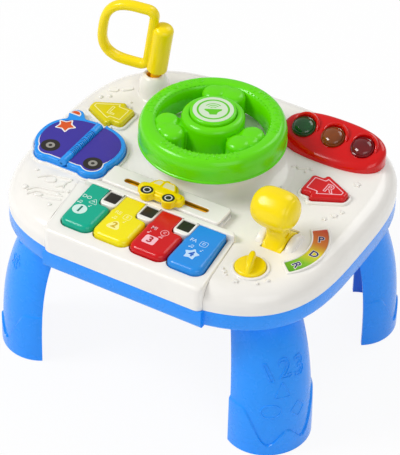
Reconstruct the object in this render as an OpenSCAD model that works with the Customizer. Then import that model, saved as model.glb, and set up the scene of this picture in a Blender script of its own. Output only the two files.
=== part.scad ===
// Musical activity table: a moulded play deck on four detachable legs, with a
// steering wheel, piano keys, arrow buttons, sliding car, gear lever, dial,
// traffic light, flip book and a turning key.
// Millimetres, +Z up. The origin is on the floor, under the middle of the table.
// The front, where the piano keys are, faces -Y.

/* [Table] */
// Width of the deck, side to side
table_w = 360; // [358:1:376]
// Depth of the deck, front to back
table_d = 322; // [321:1:340]
// Squareness of the deck's outline
outline_power = 3.3; // [3.1:0.1:4]
// Height from the floor to the underside of the tray
leg_h = 157; // [140:0.5:200]
// Height of the coloured tray's skirt
skirt_h = 20.5; // [16:0.5:24]
// Height of the top cover, from the parting line to the flat deck
cover_h = 26.5; // [26:0.5:32]
// Width of the cover's rounded shoulder
shoulder_w = 20; // [16:1:21]
// Wall of the moulded shells
wall = 2.5; // [2.2:0.1:2.8]
// Clearance between pieces that move or drop into each other
gap = 0.3; // [0.25:0.05:0.4]
// Running clearance of shafts and pins in their bores
run_gap = 0.08; // [0.05:0.01:0.1]

/* [Legs] */
// Distance from the deck's side to a foot's centre
foot_in = 44.5; // [40:0.5:50]
// Distance from the deck's front or back to a foot's centre
foot_back = 63.5; // [59:0.5:69]
// Direction that a leg's round face looks, from the side axis
leg_turn = 33.5; // [28:0.5:40]
// Half of a foot's width
foot_half = 43.4; // [40:0.2:46]
// Bulge of a foot's round face
foot_bulge = 40.3; // [38:0.2:44]
// How far a leg's top leans in towards the middle
leg_lean = 25; // [18:0.5:28]
// Share of its width that a leg loses at the top
leg_taper = 0.2; // [0.1:0.01:0.24]
// Wall of a leg
leg_wall = 3; // [2.4:0.1:4]
// Height of the thicker cuff round a foot
cuff_h = 40; // [30:1:50]
// Radius of the spigot that plugs a leg into the tray
spigot_r = 13; // [11:0.5:14]
// Length of that spigot
spigot_h = 10; // [8:0.5:12]

/* [Steering wheel] */
// Side position of the steering wheel
wheel_x = -1.5; // [-4:0.5:2]
// Front to back position of the steering wheel
wheel_y = 18; // [17:0.5:20]
// Outer radius of the rim
rim_r = 75; // [74:0.5:78]
// Radius of the opening inside the rim
rim_in_r = 53.7; // [53:0.1:57]
// Height of the rim
rim_h = 26; // [22:0.5:27]
// Height of the rim's lower lip over the deck
rim_rise = 30.5; // [29:0.5:34]
// Radius of the hub
hub_r = 32; // [30:0.5:32.5]
// Height of the hub's top over the rim's lower lip
hub_h = 32; // [31:0.5:34]
// Angle of the first spoke from the side axis
spoke_turn = 106; // [90:1:119]
// Radius of the steering shaft
shaft_r = 7; // [6:0.1:7.5]
// Radius of the horn button in the hub
horn_r = 23.5; // [22:0.1:25]
// Travel of the horn button
horn_travel = 2; // [1:0.1:2.2]

/* [Piano keys] */
// Width of one key with its gap
key_pitch = 41.7; // [41.2:0.1:42]
// Gap between two keys
key_gap = 1; // [0.8:0.1:1.4]
// Left end of the row of keys
keys_x = -85; // [-85.5:0.1:-84.5]
// How much narrower the first key is on its left
first_key_in = 4.7; // [4:0.1:6]
// Width of the housing's strip in front of the keys
front_strip = 15; // [14:0.5:17]
// Where the keys step in beside the black keys
key_step = 106; // [104:0.5:108]
// Height of the keys' tops over the deck
key_rise = 8; // [6.5:0.5:9]
// Thickness of a key
key_t = 12; // [10:0.5:13]
// Width of the housing's frame round a black key
frame_w = 18.4; // [17.6:0.2:19]
// Width of a black key
black_w = 13.6; // [12:0.2:14]
// Depth of a black key
black_d = 15; // [13:0.2:16]
// How far a key's front dips
key_dip = 3; // [2:0.1:3.2]

/* [Keyboard housing] */
// Left side of the housing at the front
house_left = 89; // [88.5:0.5:91]
// Right side of the housing at the front
house_right = 91; // [90:0.5:93]
// How far the housing's sides drift to the left towards the back
house_drift = 10; // [6:0.5:10]
// Height of the housing's front strip over the deck
house_rise = 1.5; // [1:0.1:2.5]
// Front edge of the raised slider bar
bar_front = 70; // [69.5:0.1:70.5]
// Back edge of the raised slider bar
bar_back = 46; // [45:0.5:48]
// Left end of the slider bar
bar_left = -78; // [-79:0.5:-76]
// Right end of the slider bar
bar_right = 59; // [58:0.5:61]
// Height of the slider bar's top over the deck
bar_rise = 9.5; // [9:0.5:12]
// Length of the car's slot
slot_l = 96; // [90:1:100]
// Width of the car's slot
slot_w = 4.2; // [4:0.1:5]
// Front to back position of the slot
slot_y = -62; // [-62.5:0.5:-61]
// Side position of the slot's middle
slot_x = -7; // [-9:0.5:-5]

/* [Sliding car] */
// Length of the toy car
car_l = 49; // [44:0.5:52]
// Width of the toy car, from its wheels to its roof
car_w = 31; // [28:0.5:32]
// Thickness of the toy car
car_t = 9; // [7:0.5:11]
// Radius of the toy car's wheels
car_wheel_r = 6; // [5:0.1:6.5]

/* [Gear lever] */
// Side position of the lever
lever_x = 115.7; // [114:0.1:117]
// Front to back position of the lever's pin
lever_y = -52; // [-54:0.5:-50]
// Depth of the lever's pin under the deck
lever_drop = 17; // [16:0.5:18]
// Width of the lever's gate
gate_w = 23; // [22:0.5:24]
// Half the length of the lever's gate
gate_half = 20; // [19.5:0.5:22]
// Lean of the lever as it stands, towards the front
lever_lean = 8; // [0:0.5:12]
// Distance from the pin to the middle of the lever's knob
lever_l = 61; // [56:0.5:66]
// Radius of the lever's knob
knob_r = 21.5; // [19:0.5:24]
// Half the width of the lever's knob
knob_half = 25.5; // [22:0.5:28]

/* [Dial] */
// Side position of the dial
dial_x = 113; // [111:0.5:115]
// Front to back position of the dial
dial_y = -105.5; // [-108:0.5:-104]
// Radius of the dial
dial_r = 15.5; // [14:0.5:16.5]
// Height of the dial's grip
grip_h = 9; // [7:0.5:12]
// Angle that the dial's grip stands at, from the side axis
grip_turn = 108; // [90:1:140]

/* [Arrow buttons] */
// Distance from the deck's left side to the left arrow button's middle
left_in = 49.5; // [48.5:0.5:51]
// Front to back position of the left arrow button
left_y = 30; // [29.5:0.5:32]
// Side position of the right arrow button
right_x = 121.4; // [119:0.2:123]
// Front to back position of the right arrow button
right_y = 33; // [31:0.5:34]
// Length of an arrow button
arrow_l = 45; // [42:0.5:46]
// Width of an arrow button across its head
arrow_w = 43; // [40:0.5:44]
// Length of an arrow button's tail
tail_l = 12.5; // [11:0.5:14]
// Height of an arrow button over the deck
arrow_rise = 8; // [6.5:0.5:9]
// Travel of an arrow button
arrow_travel = 2.5; // [1.5:0.1:3]

/* [Traffic light] */
// Side position of the traffic light
lights_x = 92.5; // [91:0.5:94]
// Front to back position of the traffic light
lights_y = 101; // [100:0.5:102]
// Half the length of the traffic light
lights_half_l = 57.5; // [56:0.5:59]
// Half the depth of the traffic light
lights_half_d = 26.5; // [25.5:0.5:28]
// Height of its front over the deck
lights_low = 9; // [8:0.5:11]
// Height of its back over the deck
lights_high = 23; // [20:0.5:26]
// Distance between two lenses
lens_pitch = 33.5; // [33:0.1:34]
// Radius of a lens
lens_r = 12.2; // [11:0.1:12.6]

/* [Flip book] */
// Distance from the deck's left side to the flip book
book_edge = 4; // [3.5:0.5:5]
// Front to back position of the flip book
book_y = -35; // [-36:0.5:-34.5]
// Half the width of the car-shaped book
book_half_w = 39; // [37:0.5:39.5]
// Thickness of a page
page_t = 5.5; // [4.5:0.1:6.5]
// Radius of the bulges round the book's wheels
bulge_r = 16; // [14:0.5:16.5]
// Radius of the hinge's barrel
barrel_r = 4; // [3.6:0.1:4.4]

/* [Turning key] */
// Distance from the deck's left side to the key's socket
key_in = 67; // [66:0.5:68]
// Front to back position of the key's socket
key_y = 89; // [88:0.5:90]
// Lean of the key towards the wheel
key_lean = 8.4; // [0:0.2:10]
// Angle that the key's handle stands at, from the side axis
key_turn = 17; // [0:1:30]
// Height of the ball's centre over the deck
ball_rise = 11; // [11:0.5:13]
// Radius of the ball
ball_r = 9; // [8.5:0.1:9]
// Radius of the dome round the ball
dome_r = 16; // [15:0.5:17]
// Height of the dome over the deck
dome_h = 25; // [24:0.5:27]
// Radius of the key's post
post_r = 11; // [9.5:0.5:11.5]
// Distance from the ball's centre to the foot of the post
post_low = 21; // [16:0.5:22]
// Distance from the ball's centre to the top of the post
post_high = 79; // [77:0.5:82]
// Radius of the handle's round bar
ring_r = 5; // [4.6:0.1:5.6]
// Half the height of the handle, to the middle of its bar
ring_half = 35.5; // [33:0.5:36.5]
// Length of the handle's straight arms
ring_arm = 16; // [12:0.5:20]
// Height of the handle's middle over the ball
ring_mid = 58; // [56:0.5:59]

/* [Under the tray] */
// Length of an AA cell
cell_l = 50.5; // [50:0.1:51]
// Radius of an AA cell
cell_r = 7.1; // [7:0.05:7.25]
// Side position of the battery bay
bay_x = 20; // [12:1:28]
// Front to back position of the battery bay
bay_y = 10; // [0:1:16]
// Radius of the speaker
speaker_r = 26; // [22:0.5:28]
// Side position of the speaker
speaker_x = -62; // [-66:1:-58]
// Front to back position of the speaker
speaker_y = 30; // [24:1:36]

/* [Hidden] */
$fn = 48;
shell_white = "#eeebe4";
tray_blue = "#3f97f2";
wheel_green = "#69d40f";
yellow = "#fadf10";
red = "#d9120f";
teal = "#1ea58c";
key_blue = "#3c87d7";
book_blue = "#3c96e1";
black = "#322d28";
ochre = "#7d5f00";
steel = "#b9bcc0";
board_green = "#1f6b3a";
silicone = "#d8d8d2";

parting = leg_h + skirt_h;
deck = parting + cover_h;
ceiling = deck - wall;
tray_top = leg_h + wall;
side_h = 8;
outline_n = 72;
shoulder_steps = 6;

screw_r = 1.5;
screw_head_r = 3.1;
screw_head_h = 2.3;
thread_gap = 0.05;
hole_gap = 0.3;
boss_r = 4.2;
boss_low = leg_h + 8;
screw_seat = 3;
foot_boss_r = 5.5;
boss_in = 24;
side_boss_y = 61;
back_boss_x = 50;
house_boss_in = 8;
house_boss_x = [76, 60];
case_screw_l = 15;
shaft_screw_l = 7;
leg_screw_l = 11;
board_screw_l = 8;
pin_gap = 0.02;
small_screw_r = 1.1;
small_head_r = 2;
small_head_h = 1.2;

board_t = 1.6;
board_z = leg_h + 21;
switch_r = 4;
switch_h = 1.2;
switch_top = board_z + board_t + switch_h;
magnet_low = 8;
magnet_high = 15;
main_board_x = [-78, 76];
board_post_r = 3.5;
board_post_x = 70;

foot_x = table_w / 2 - foot_in;
foot_y = table_d / 2 - foot_back;
key_front = table_d / 2 - front_strip;
left_x = left_in - table_w / 2;
key_x = key_in - table_w / 2;

pedestal_top = deck + rim_rise - 5;
hub_low = pedestal_top + 2.8;
rim_low = deck + rim_rise;
hub_top = rim_low + hub_h;
washer_z = hub_top - 9;
washer_t = 2.4;
horn_low = hub_top - 3.6;
shaft_screw_at = 11;
shaft_foot = pedestal_top - wall - 6;
shaft_foot_r = 15;
shaft_foot_t = 3;

strip_top = deck + house_rise;
well_floor = deck - 13;
land_top = deck + 5;
ridge_top = deck + 8.5;
bar_top = deck + bar_rise;
bar_foot = 6;
key_back = bar_front + 12;
pivot_y = -bar_front - 7.5;
pivot_z = deck - 5.5;
pivot_r = 3.5;
rod_r = 1.5;
plunger_r = 3.5;
plunger_y = -key_front + 22;
key_edge = 2.4;
keys_end = keys_x + 4 * key_pitch - key_gap;
tunnel = [-75, 70];
shoe_t = 2.5;

lever_z = deck - lever_drop;
drum_r = 24;
ear_r = 19;
ear_t = 5;
lever_pin_r = 2;

arrow_flange = 1.6;
arrow_posts = [-14, 19.5];
arrow_post_r = 2.5;
lights_mid = (lights_low + lights_high) / 2;
lights_tilt = atan((lights_high - lights_low) / (2 * lights_half_d));
lights_power = 2.6;
lens_back = -1;
light_bosses = [for (side = [-1, 1]) [side * lens_pitch / 2, 14]];

// the book fills the deck from its left side to the slider bar
book_body = -2.6;
book_reach = 1.4;
book_left = book_edge - table_w / 2;
book_right = bar_left + book_reach;
book_half_l = (book_right - book_left) / 2;
book_x = (book_right + book_left) / 2 - book_body;
book_power = 2.3;
book_sill = 0.9;
bulge_at = [-0.443 * book_half_l, 0.604 * book_half_l];
bulge_low = 41;
book_lamp_r = 8.5;
book_base = 2;
leaf_low = deck + book_base + gap;
hinge_z = leaf_low + page_t + gap;
hinge_pin_r = 1.4;
book_rim = 2.6;
arrow_rim = 3.6;
dial_rim = 3.5;
rim_t = 2;
barrel_half = 35;
knuckles = 5;

// ---- shared shapes ----

function sgn_pow(v, p) = sign(v) * pow(abs(v), p);

// Closed superellipse with half axes a and b
function super_outline(a, b, p, n) =
    [for (i = [0 : n - 1]) let (t = 360 * i / n) [a * sgn_pow(cos(t), 2 / p), b * sgn_pow(sin(t), 2 / p)]];

function deck_outline(inset) =
    super_outline(table_w / 2 - inset, table_d / 2 - inset, outline_power, outline_n);

function at_z(points, z) = [for (p = points) [p[0], p[1], z]];

function unit(v) = v / norm(v);

function left_of(v) = [-v[1], v[0]];

// Convex outline with its corners rounded to radius r, moved inwards by inset
function round_poly(p, r, inset) = let (n = len(p), k = 5)
    [for (i = [0 : n - 1], j = [0 : k - 1]) let (
        u = left_of(unit(p[i] - p[(i + n - 1) % n])),
        v = left_of(unit(p[(i + 1) % n] - p[i])),
        centre = p[i] + r * (u + v) / (1 + u * v),
        from = atan2(-u[1], -u[0]),
        t = from + acos(u * v) * j / (k - 1))
        centre + max(r - inset, 0.3) * [cos(t), sin(t)]];

function rect(x0, y0, x1, y1) = [[x0, y0], [x1, y0], [x1, y1], [x0, y1]];

// Solid through a stack of closed rings that all have the same number of points
module loft(rings) {
    n = len(rings[0]);
    last = len(rings) - 1;
    sides = [for (j = [0 : last - 1], i = [0 : n - 1])
        let (a = j * n + i, b = j * n + (i + 1) % n)
        each [[a, a + n, b + n], [a, b + n, b]]];
    bottom = [[for (i = [0 : n - 1]) i]];
    top = [[for (i = [n - 1 : -1 : 0]) last * n + i]];
    polyhedron([for (r = rings) each r], concat(bottom, sides, top), convexity = 8);
}

// Block over a convex outline, with rounded corners and a rounded top edge
module block(p, h, r, edge) {
    steps = 3;
    bend = [for (i = [0 : steps]) let (t = 90 * i / steps)
        at_z(round_poly(p, r, edge * (1 - cos(t))), h - edge + edge * sin(t))];
    loft(concat([at_z(round_poly(p, r, 0), 0)], bend));
}

module rod_x(r, l) rotate([0, 90, 0]) cylinder(r = r, h = l);

module rod_y(r, l) rotate([-90, 0, 0]) cylinder(r = r, h = l);

// Raises a convex outline and bevels its top edge
module bevelled(h, edge) hull() {
    linear_extrude(h - edge) children();
    linear_extrude(h - 0.3 * edge) offset(delta = -0.3 * edge) children();
    linear_extrude(h) offset(delta = -edge) children();
}

module rounded_2d(r) offset(r = r, $fn = 24) offset(delta = -r) children();

// Screw with its head down and its tip up; the origin is under the head's seat
module screw(l) {
    translate([0, 0, -screw_head_h]) cylinder(r = screw_head_r, h = screw_head_h);
    cylinder(r = screw_r, h = l);
}

module small_screw(l) {
    translate([0, 0, -small_head_h]) cylinder(r = small_head_r, h = small_head_h);
    cylinder(r = small_screw_r, h = l);
}

// ---- outlines that two or more pieces share ----

// Arrow that points to +X
module arrow_2d(grow = 0) {
    head = tail_l - arrow_l / 2;
    shank = 0.33 * arrow_w;
    tip = 5;
    offset(r = grow, $fn = 24) rounded_2d(3.5)
        polygon([[-arrow_l / 2, -shank], [head, -shank], [head, -arrow_w / 2], [arrow_l / 2, -tip],
            [arrow_l / 2, tip], [head, arrow_w / 2], [head, shank], [-arrow_l / 2, shank]]);
}

module at_left_arrow() translate([left_x, left_y]) mirror([1, 0, 0]) children();
module at_right_arrow() translate([right_x, right_y]) children();

// Side view of a round car, which is the flip book's outline
module book_2d(grow = 0) {
    sill = book_sill * book_half_w;
    offset(r = grow, $fn = 24) union() {
        difference() {
            translate([book_body, 0]) polygon(super_outline(book_half_l, book_half_w, book_power, 48));
            translate([-2 * book_half_l, -sill - bulge_r]) square([4 * book_half_l, bulge_r]);
        }
        for (x = bulge_at) translate([x, bulge_r - bulge_low]) circle(r = bulge_r);
        translate([-0.64 * book_half_l, book_half_w - 1]) circle(r = book_lamp_r);
    }
}

module at_book() translate([book_x, book_y]) children();

// Keyboard housing seen from above, without the slider bar
module house_2d() {
    corner = 14;
    back = -bar_front - 2;
    front = -table_d / 2;
    right = house_right - house_drift;
    rounded_2d(3) difference() {
        polygon([[-house_left, front], [house_right, front], [right, back],
            [-house_left - house_drift, back]]);
        translate([right - corner, back - corner]) difference() {
            square(2 * corner);
            circle(r = corner);
        }
        at_book() book_2d(book_rim + 2 * gap);
    }
}

module bar_2d() rounded_2d(3) translate([bar_left, -bar_front - bar_foot])
    square([bar_right - bar_left, bar_front - bar_back + bar_foot]);

module housing_2d(grow = 0) offset(r = grow, $fn = 24) {
    house_2d();
    bar_2d();
}

// ---- places ----

function case_bosses() = concat(
    [for (sx = [-1, 1], sy = [-1, 1]) [sx * (table_w / 2 - boss_in), sy * side_boss_y]],
    [for (sx = [-1, 1]) [sx * back_boss_x, table_d / 2 - boss_in]]);
function house_bosses() = concat(
    [for (sx = [-1, 1]) [sx * house_boss_x[0], house_boss_in - table_d / 2]],
    [for (sx = [-1, 1]) [sx * house_boss_x[1], -key_back - 2]]);
function board_front() = plunger_y - 15;
function board_back() = -key_back - 15;
function board_posts() =
    [for (sx = [-1, 1], y = [board_front() + 5, board_back() - 7]) [sx * board_post_x, y]];
function key_left(i) = keys_x + i * key_pitch;
function plunger_x(i) = key_left(i) + (key_pitch - key_gap) / 2;
function black_x(i) = key_left(i) + key_pitch - 6.7;
function shaft_screws() = [for (i = [0 : 2]) shaft_screw_at * [cos(120 * i), sin(120 * i)]];

// ---- cover ----

// Body of the top cover; an inset gives the hollow inside it
module cover_form(inset) {
    h = cover_h - side_h;
    foot = [at_z(deck_outline(inset), inset > 0 ? parting - 1 : parting)];
    bend = [for (i = [0 : shoulder_steps])
        let (t = 90 * i / shoulder_steps, in = inset + shoulder_w * (1 - cos(t)))
        at_z(deck_outline(in), parting + side_h + (h - inset) * sin(t))];
    loft(concat(foot, bend));
}

// Round foot that carries the steering wheel
module pedestal(thick) {
    low = rim_r + 1 - thick;
    mid = rim_in_r + 12 - thick;
    high = rim_in_r + 8 - thick;
    top = pedestal_top - thick;
    translate([wheel_x, wheel_y]) rotate_extrude($fn = 64)
        polygon([[0, deck - 4], [low, deck - 4], [low, deck], [mid + 3, deck + 4],
            [mid, deck + 9], [high, top - 2], [high - 2, top], [0, top]]);
}

// Half-round ears beside the lever's gate, which carry its pin
module lever_ears() {
    rise = 6;
    for (side = [-1, 1])
        translate([lever_x + side * (gate_w + ear_t) / 2 - ear_t / 2, lever_y, lever_z]) intersection() {
            translate([0, 0, rise]) rod_x(ear_r, ear_t);
            translate([0, -ear_r, -rise]) cube([ear_t, 2 * ear_r, 2 * (ear_r + rise)]);
        }
}

module top_shell() color(shell_white) difference() {
    union() {
        difference() {
            union() {
                cover_form(0);
                pedestal(0);
                translate([0, 0, deck - 10]) {
                    linear_extrude(11 + rim_t) at_left_arrow() arrow_2d(arrow_rim);
                    linear_extrude(11 + rim_t) at_right_arrow() arrow_2d(arrow_rim);
                    linear_extrude(10 + rim_t) at_book() book_2d(book_rim);
                    translate([dial_x, dial_y]) cylinder(r = dial_r + dial_rim, h = 10 + rim_t);
                }
            }
            cover_form(wall);
            pedestal(wall);
        }
        lever_ears();
        for (p = case_bosses()) translate([p[0], p[1], boss_low])
            cylinder(r = boss_r, h = ceiling + 1 - boss_low);
        translate([wheel_x, wheel_y, pedestal_top - wall - 3]) cylinder(r = 16, h = 4);
        arrow_post_columns();
    }
    openings_of_cover();
}

// Puts its children at the two board screws of each arrow button
module at_arrow_posts(z) for (sy = [-1, 1]) {
    at_left_arrow() translate([arrow_posts[0], sy * arrow_posts[1], z]) children();
    at_right_arrow() translate([arrow_posts[0], sy * arrow_posts[1], z]) children();
}

module arrow_post_columns() {
    z = board_z + board_t;
    at_arrow_posts(z) cylinder(r = arrow_post_r, h = ceiling + 1 - z);
}

module openings_of_cover() {
    translate([0, 0, parting - 5]) linear_extrude(bar_top + gap - parting + 5) housing_2d(gap);
    translate([0, 0, deck - 12]) {
        linear_extrude(30) at_left_arrow() arrow_2d(gap);
        linear_extrude(30) at_right_arrow() arrow_2d(gap);
        translate([dial_x, dial_y]) cylinder(r = 5 + run_gap, h = 30);
        translate([key_x, key_y]) cylinder(r = 5, h = 14);
        for (i = [-1 : 1]) translate([lights_x + i * lens_pitch, lights_y]) cylinder(r = 3, h = 14);
        for (p = light_bosses) translate([lights_x + p[0], lights_y + p[1]])
            cylinder(r = screw_r + hole_gap, h = 14);
    }
    translate([0, 0, deck]) linear_extrude(20) at_book() book_2d(gap);
    translate([dial_x, dial_y, deck]) cylinder(r = dial_r + gap, h = 10);
    translate([lever_x - gate_w / 2, lever_y - gate_half, lever_z - 10]) cube([gate_w, 2 * gate_half, 50]);
    translate([lever_x - gate_w / 2 - ear_t, lever_y, lever_z])
        rod_x(lever_pin_r + pin_gap, gate_w + 2 * ear_t);
    translate([wheel_x, wheel_y, deck]) cylinder(r = shaft_r + run_gap, h = 40);
    for (p = shaft_screws()) translate([wheel_x + p[0], wheel_y + p[1], pedestal_top - 7])
        cylinder(r = screw_r + thread_gap, h = 5.5);
    for (p = case_bosses()) translate([p[0], p[1], boss_low - 1]) cylinder(r = screw_r + thread_gap, h = 20);
    at_arrow_posts(board_z) cylinder(r = small_screw_r + thread_gap, h = board_screw_l + 1);
}

// ---- keyboard ----

// Frame round a black key, with its front corners cut
module frame_2d(i) {
    d = key_step - key_back - 1;
    translate([black_x(i), -key_back]) offset(r = 1, $fn = 16)
        polygon([[1 - frame_w / 2, 0], [1 - frame_w / 2, 3 - d], [4.5 - frame_w / 2, 1 - d],
            [frame_w / 2 - 4.5, 1 - d], [frame_w / 2 - 1, 3 - d], [frame_w / 2 - 1, 0]]);
}

module keyboard_housing() color(shell_white) difference() {
    union() {
        difference() {
            union() {
                translate([0, 0, parting]) house_block();
                translate([0, 0, deck - 12]) bevelled(bar_rise + 12, 1.5) bar_2d();
                back_block();
            }
            house_hollows();
        }
        for (i = [0 : 2]) translate([0, 0, well_floor - 1])
            linear_extrude(key_top() + 0.5 - well_floor + 1) frame_2d(i);
        for (p = house_bosses()) translate([p[0], p[1], boss_low])
            cylinder(r = boss_r, h = well_floor - 1 - boss_low);
    }
    house_openings();
}

// Body of the housing, with its top edge eased
module house_block() {
    h = strip_top - parting;
    linear_extrude(h - 2) house_2d();
    linear_extrude(h - 0.8) offset(delta = -0.5) house_2d();
    linear_extrude(h) offset(delta = -1.6) house_2d();
}

function key_top() = deck + key_rise;

// Land and ridge behind the piano keys
module back_block() {
    module behind(front, h) translate([0, 0, well_floor]) linear_extrude(h) intersection() {
        house_2d();
        translate([-house_left - house_drift, front]) square([2 * table_w, 30]);
    }
    behind(-key_back, land_top - well_floor);
    behind(-bar_front - 2, land_top - well_floor);
    difference() {
        behind(-key_back, ridge_top - well_floor);
        translate([-table_w, 5 - key_back, land_top]) cube([2 * table_w, 30, 10]);
    }
}

// All the piano keys together
module keys_2d(grow) offset(delta = grow)
    polygon([[keys_x + first_key_in, -key_front], [keys_end, -key_front],
        [keys_end - drift(key_back), -key_back], [keys_x + first_key_in, -key_back]]);

function drift(y) = house_drift * (key_front - y) / (table_d / 2 - bar_front);

function land_side() = keys_x + first_key_in - key_gap - wall;

module house_hollows() {
    low = parting - 1;
    translate([0, 0, low]) linear_extrude(well_floor - wall - low) offset(delta = -wall) housing_2d();
    translate([0, 0, well_floor]) linear_extrude(40) intersection() {
        keys_2d(key_gap);
        translate([-table_w, -table_d]) square([2 * table_w, table_d - key_back]);
    }
    // tunnel for the keys' hinge barrels
    translate([tunnel[0], -key_back - 1, well_floor])
        cube([tunnel[1] - tunnel[0], key_back + 1 - bar_front - wall, land_top - wall - well_floor]);
    // hollow of the front strip
    translate([keys_x, -table_d / 2 + wall, low])
        cube([4 * key_pitch, table_d / 2 - key_front - key_gap - 2 * wall, strip_top - wall - low]);
    // hollow of the land beside the first key
    translate([0, 0, low]) linear_extrude(strip_top - wall - low) polygon([
        [wall - house_left, -key_front], [land_side(), -key_front], [land_side(), -key_back],
        [wall - house_left - drift(key_back), -key_back]]);
    // hollow of the slider bar
    translate([bar_left + wall, -bar_front + wall, low])
        cube([bar_right - bar_left - 2 * wall, bar_front - bar_back - 2 * wall, bar_top - wall - low]);
}

module house_openings() {
    // the book's round end bites into the slider bar's left end
    translate([0, 0, deck]) linear_extrude(bar_rise + 1) at_book() book_2d(gap);
    translate([slot_x - (slot_l - slot_w) / 2, slot_y, deck]) {
        cylinder(r = slot_w / 2, h = 20);
        translate([slot_l - slot_w, 0, 0]) cylinder(r = slot_w / 2, h = 20);
        translate([0, -slot_w / 2, 0]) cube([slot_l - slot_w, slot_w, 20]);
    }
    for (i = [0 : 3]) translate([plunger_x(i), plunger_y, well_floor - 10])
        cylinder(r = plunger_r + 1.5, h = 12);
    translate([tunnel[0] - 3, pivot_y, pivot_z]) rod_x(rod_r, tunnel[1] - tunnel[0] + 6);
    for (i = [0 : 2])
        translate([black_x(i) - black_w / 2 - gap, black_y() - black_d / 2 - gap, well_floor - 10])
            cube([black_w + 2 * gap, black_d + 2 * gap, 40]);
    for (p = house_bosses()) translate([p[0], p[1], boss_low - 1]) cylinder(r = screw_r + thread_gap, h = 17);
}

function black_y() = -key_back - 2.5 - black_d / 2;

module black_block(h)
    block(rect(-black_w / 2, -black_d / 2, black_w / 2, black_d / 2), h, 1, 0.6);

// Black keys: three blocks on one strip, held under the well's floor
module black_keys() color(black) {
    low = well_floor - wall - 2;
    for (i = [0 : 2]) translate([black_x(i), black_y(), low]) black_block(key_top() - 0.5 - low);
    translate([black_x(0), black_y() - 4, low]) cube([black_x(2) - black_x(0), 8, 2]);
}

// One piano key, drawn with its left end at x = 0
module piano_key(i) {
    w = key_pitch - key_gap;
    low = key_top() - key_t;
    cut = frame_w / 2 + gap + 0.2;
    back = key_back + gap;
    side = i > 0 ? 0 : first_key_in;
    step_r = i < 3 ? 0 : drift(key_step);
    left = i > 0 ? black_x(i - 1) + cut - key_left(i) : side;
    right = i < 3 ? black_x(i) - cut - key_left(i) : w - drift(back);
    tail_r = i < 3 ? right : w - drift(key_step + 12);
    barrel_l = max(left, tunnel[0] + gap - key_left(i));
    barrel_r = min(right, tunnel[1] - gap - key_left(i));
    arm_low = pivot_z - pivot_r;
    plunger_low = switch_top + 0.2 + key_dip * (plunger_y - pivot_y) / (-key_front - pivot_y);
    difference() {
        translate([0, 0, low]) union() {
            block([[side, -key_front], [w, -key_front], [w - step_r, -key_step], [side, -key_step]],
                key_t, 7, key_edge);
            block([[left, -key_step - 12], [tail_r, -key_step - 12], [right, -back], [left, -back]],
                key_t, 3, key_edge);
        }
        // hollow under the key's face
        translate([side + wall, -key_front + wall, low - 1])
            cube([w - side - 2 * wall - step_r, key_front - key_step - wall - 2, key_t + 1 - wall]);
        translate([left + wall, -key_step - 3, low - 1])
            cube([min(right, tail_r) - left - 2 * wall, key_step - back - 8, key_t + 1 - wall]);
    }
    difference() {
        union() {
            translate([barrel_l, -key_back - 6, arm_low]) cube([barrel_r - barrel_l, 4, 9]);
            translate([barrel_l, -key_back - 4, arm_low])
                cube([barrel_r - barrel_l, key_back + pivot_y + 4, 2 * pivot_r]);
            translate([barrel_l, pivot_y, pivot_z]) rod_x(pivot_r, barrel_r - barrel_l);
        }
        translate([barrel_l - 1, pivot_y, pivot_z]) rod_x(rod_r + run_gap, barrel_r - barrel_l + 2);
    }
    translate([w / 2, plunger_y, plunger_low]) cylinder(r = plunger_r, h = low + key_t - 1 - plunger_low);
}

module piano_key_1() color(teal) translate([key_left(0), 0, 0]) piano_key(0);
module piano_key_2() color(yellow) translate([key_left(1), 0, 0]) piano_key(1);
module piano_key_3() color(red) translate([key_left(2), 0, 0]) piano_key(2);
module piano_key_4() color(key_blue) translate([key_left(3), 0, 0]) piano_key(3);

module key_rod() color(steel)
    translate([tunnel[0] - 3, pivot_y, pivot_z]) rod_x(rod_r, tunnel[1] - tunnel[0] + 6);

// ---- sliding car ----

track_top = bar_top - wall - 2 * gap - shoe_t;

module slider_track() color(ochre) {
    low = deck - 10.5;
    translate([bar_left + wall + gap, -bar_front + wall + gap, low])
        cube([bar_right - bar_left - 2 * (wall + gap), bar_front - bar_back - 2 * (wall + gap), 2]);
    translate([slot_x - slot_l / 2 - 2, slot_y - 4.5, low]) cube([slot_l + 4, 9, track_top - low]);
    // end blocks that meet the underside of the bar
    for (side = [-1, 1]) translate([slot_x + side * (slot_l / 2 + 4.5) - 3, slot_y - 4.5, low])
        cube([6, 9, bar_top - wall - low]);
}

module car_2d() {
    body_h = 0.48 * car_w;
    roof_x = -0.04 * car_l;
    translate([0, body_h / 2]) rounded_2d(6) square([car_l, body_h], center = true);
    rounded_2d(4) polygon([[roof_x - 0.36 * car_l, body_h - 4], [roof_x + 0.4 * car_l, body_h - 4],
        [roof_x + 0.3 * car_l, car_w - 7], [roof_x - 0.2 * car_l, car_w - 7]]);
    for (x = [-0.24, 0.24]) translate([x * car_l, 1]) circle(r = car_wheel_r + 1);
}

car_x = slot_x - 2.5;
neck_l = 7.5;
neck_t = 2;
shoe_l = 13;
shoe_w = 7.6;

module slider_car() color(yellow) translate([car_x, slot_y, 0]) {
    low = bar_top + gap;
    translate([0, -0.435 * car_w, low]) {
        linear_extrude(car_t - 1.5) car_2d();
        linear_extrude(car_t) offset(delta = -1.5) car_2d();
    }
    for (side = [-1, 1])
        translate([side * (neck_l - neck_t) / 2 - neck_t / 2, -slot_w / 2 + gap, bar_top - wall - gap])
            cube([neck_t, slot_w - 2 * gap, wall + 2 * gap]);
}

module slider_shoe() color(shell_white) translate([car_x, slot_y, bar_top - wall - gap - shoe_t])
    translate([-shoe_l / 2, -shoe_w / 2, 0]) cube([shoe_l, shoe_w, shoe_t]);

// ---- tray and legs ----

function leg_dir() = [cos(leg_turn), sin(leg_turn)];

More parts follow.
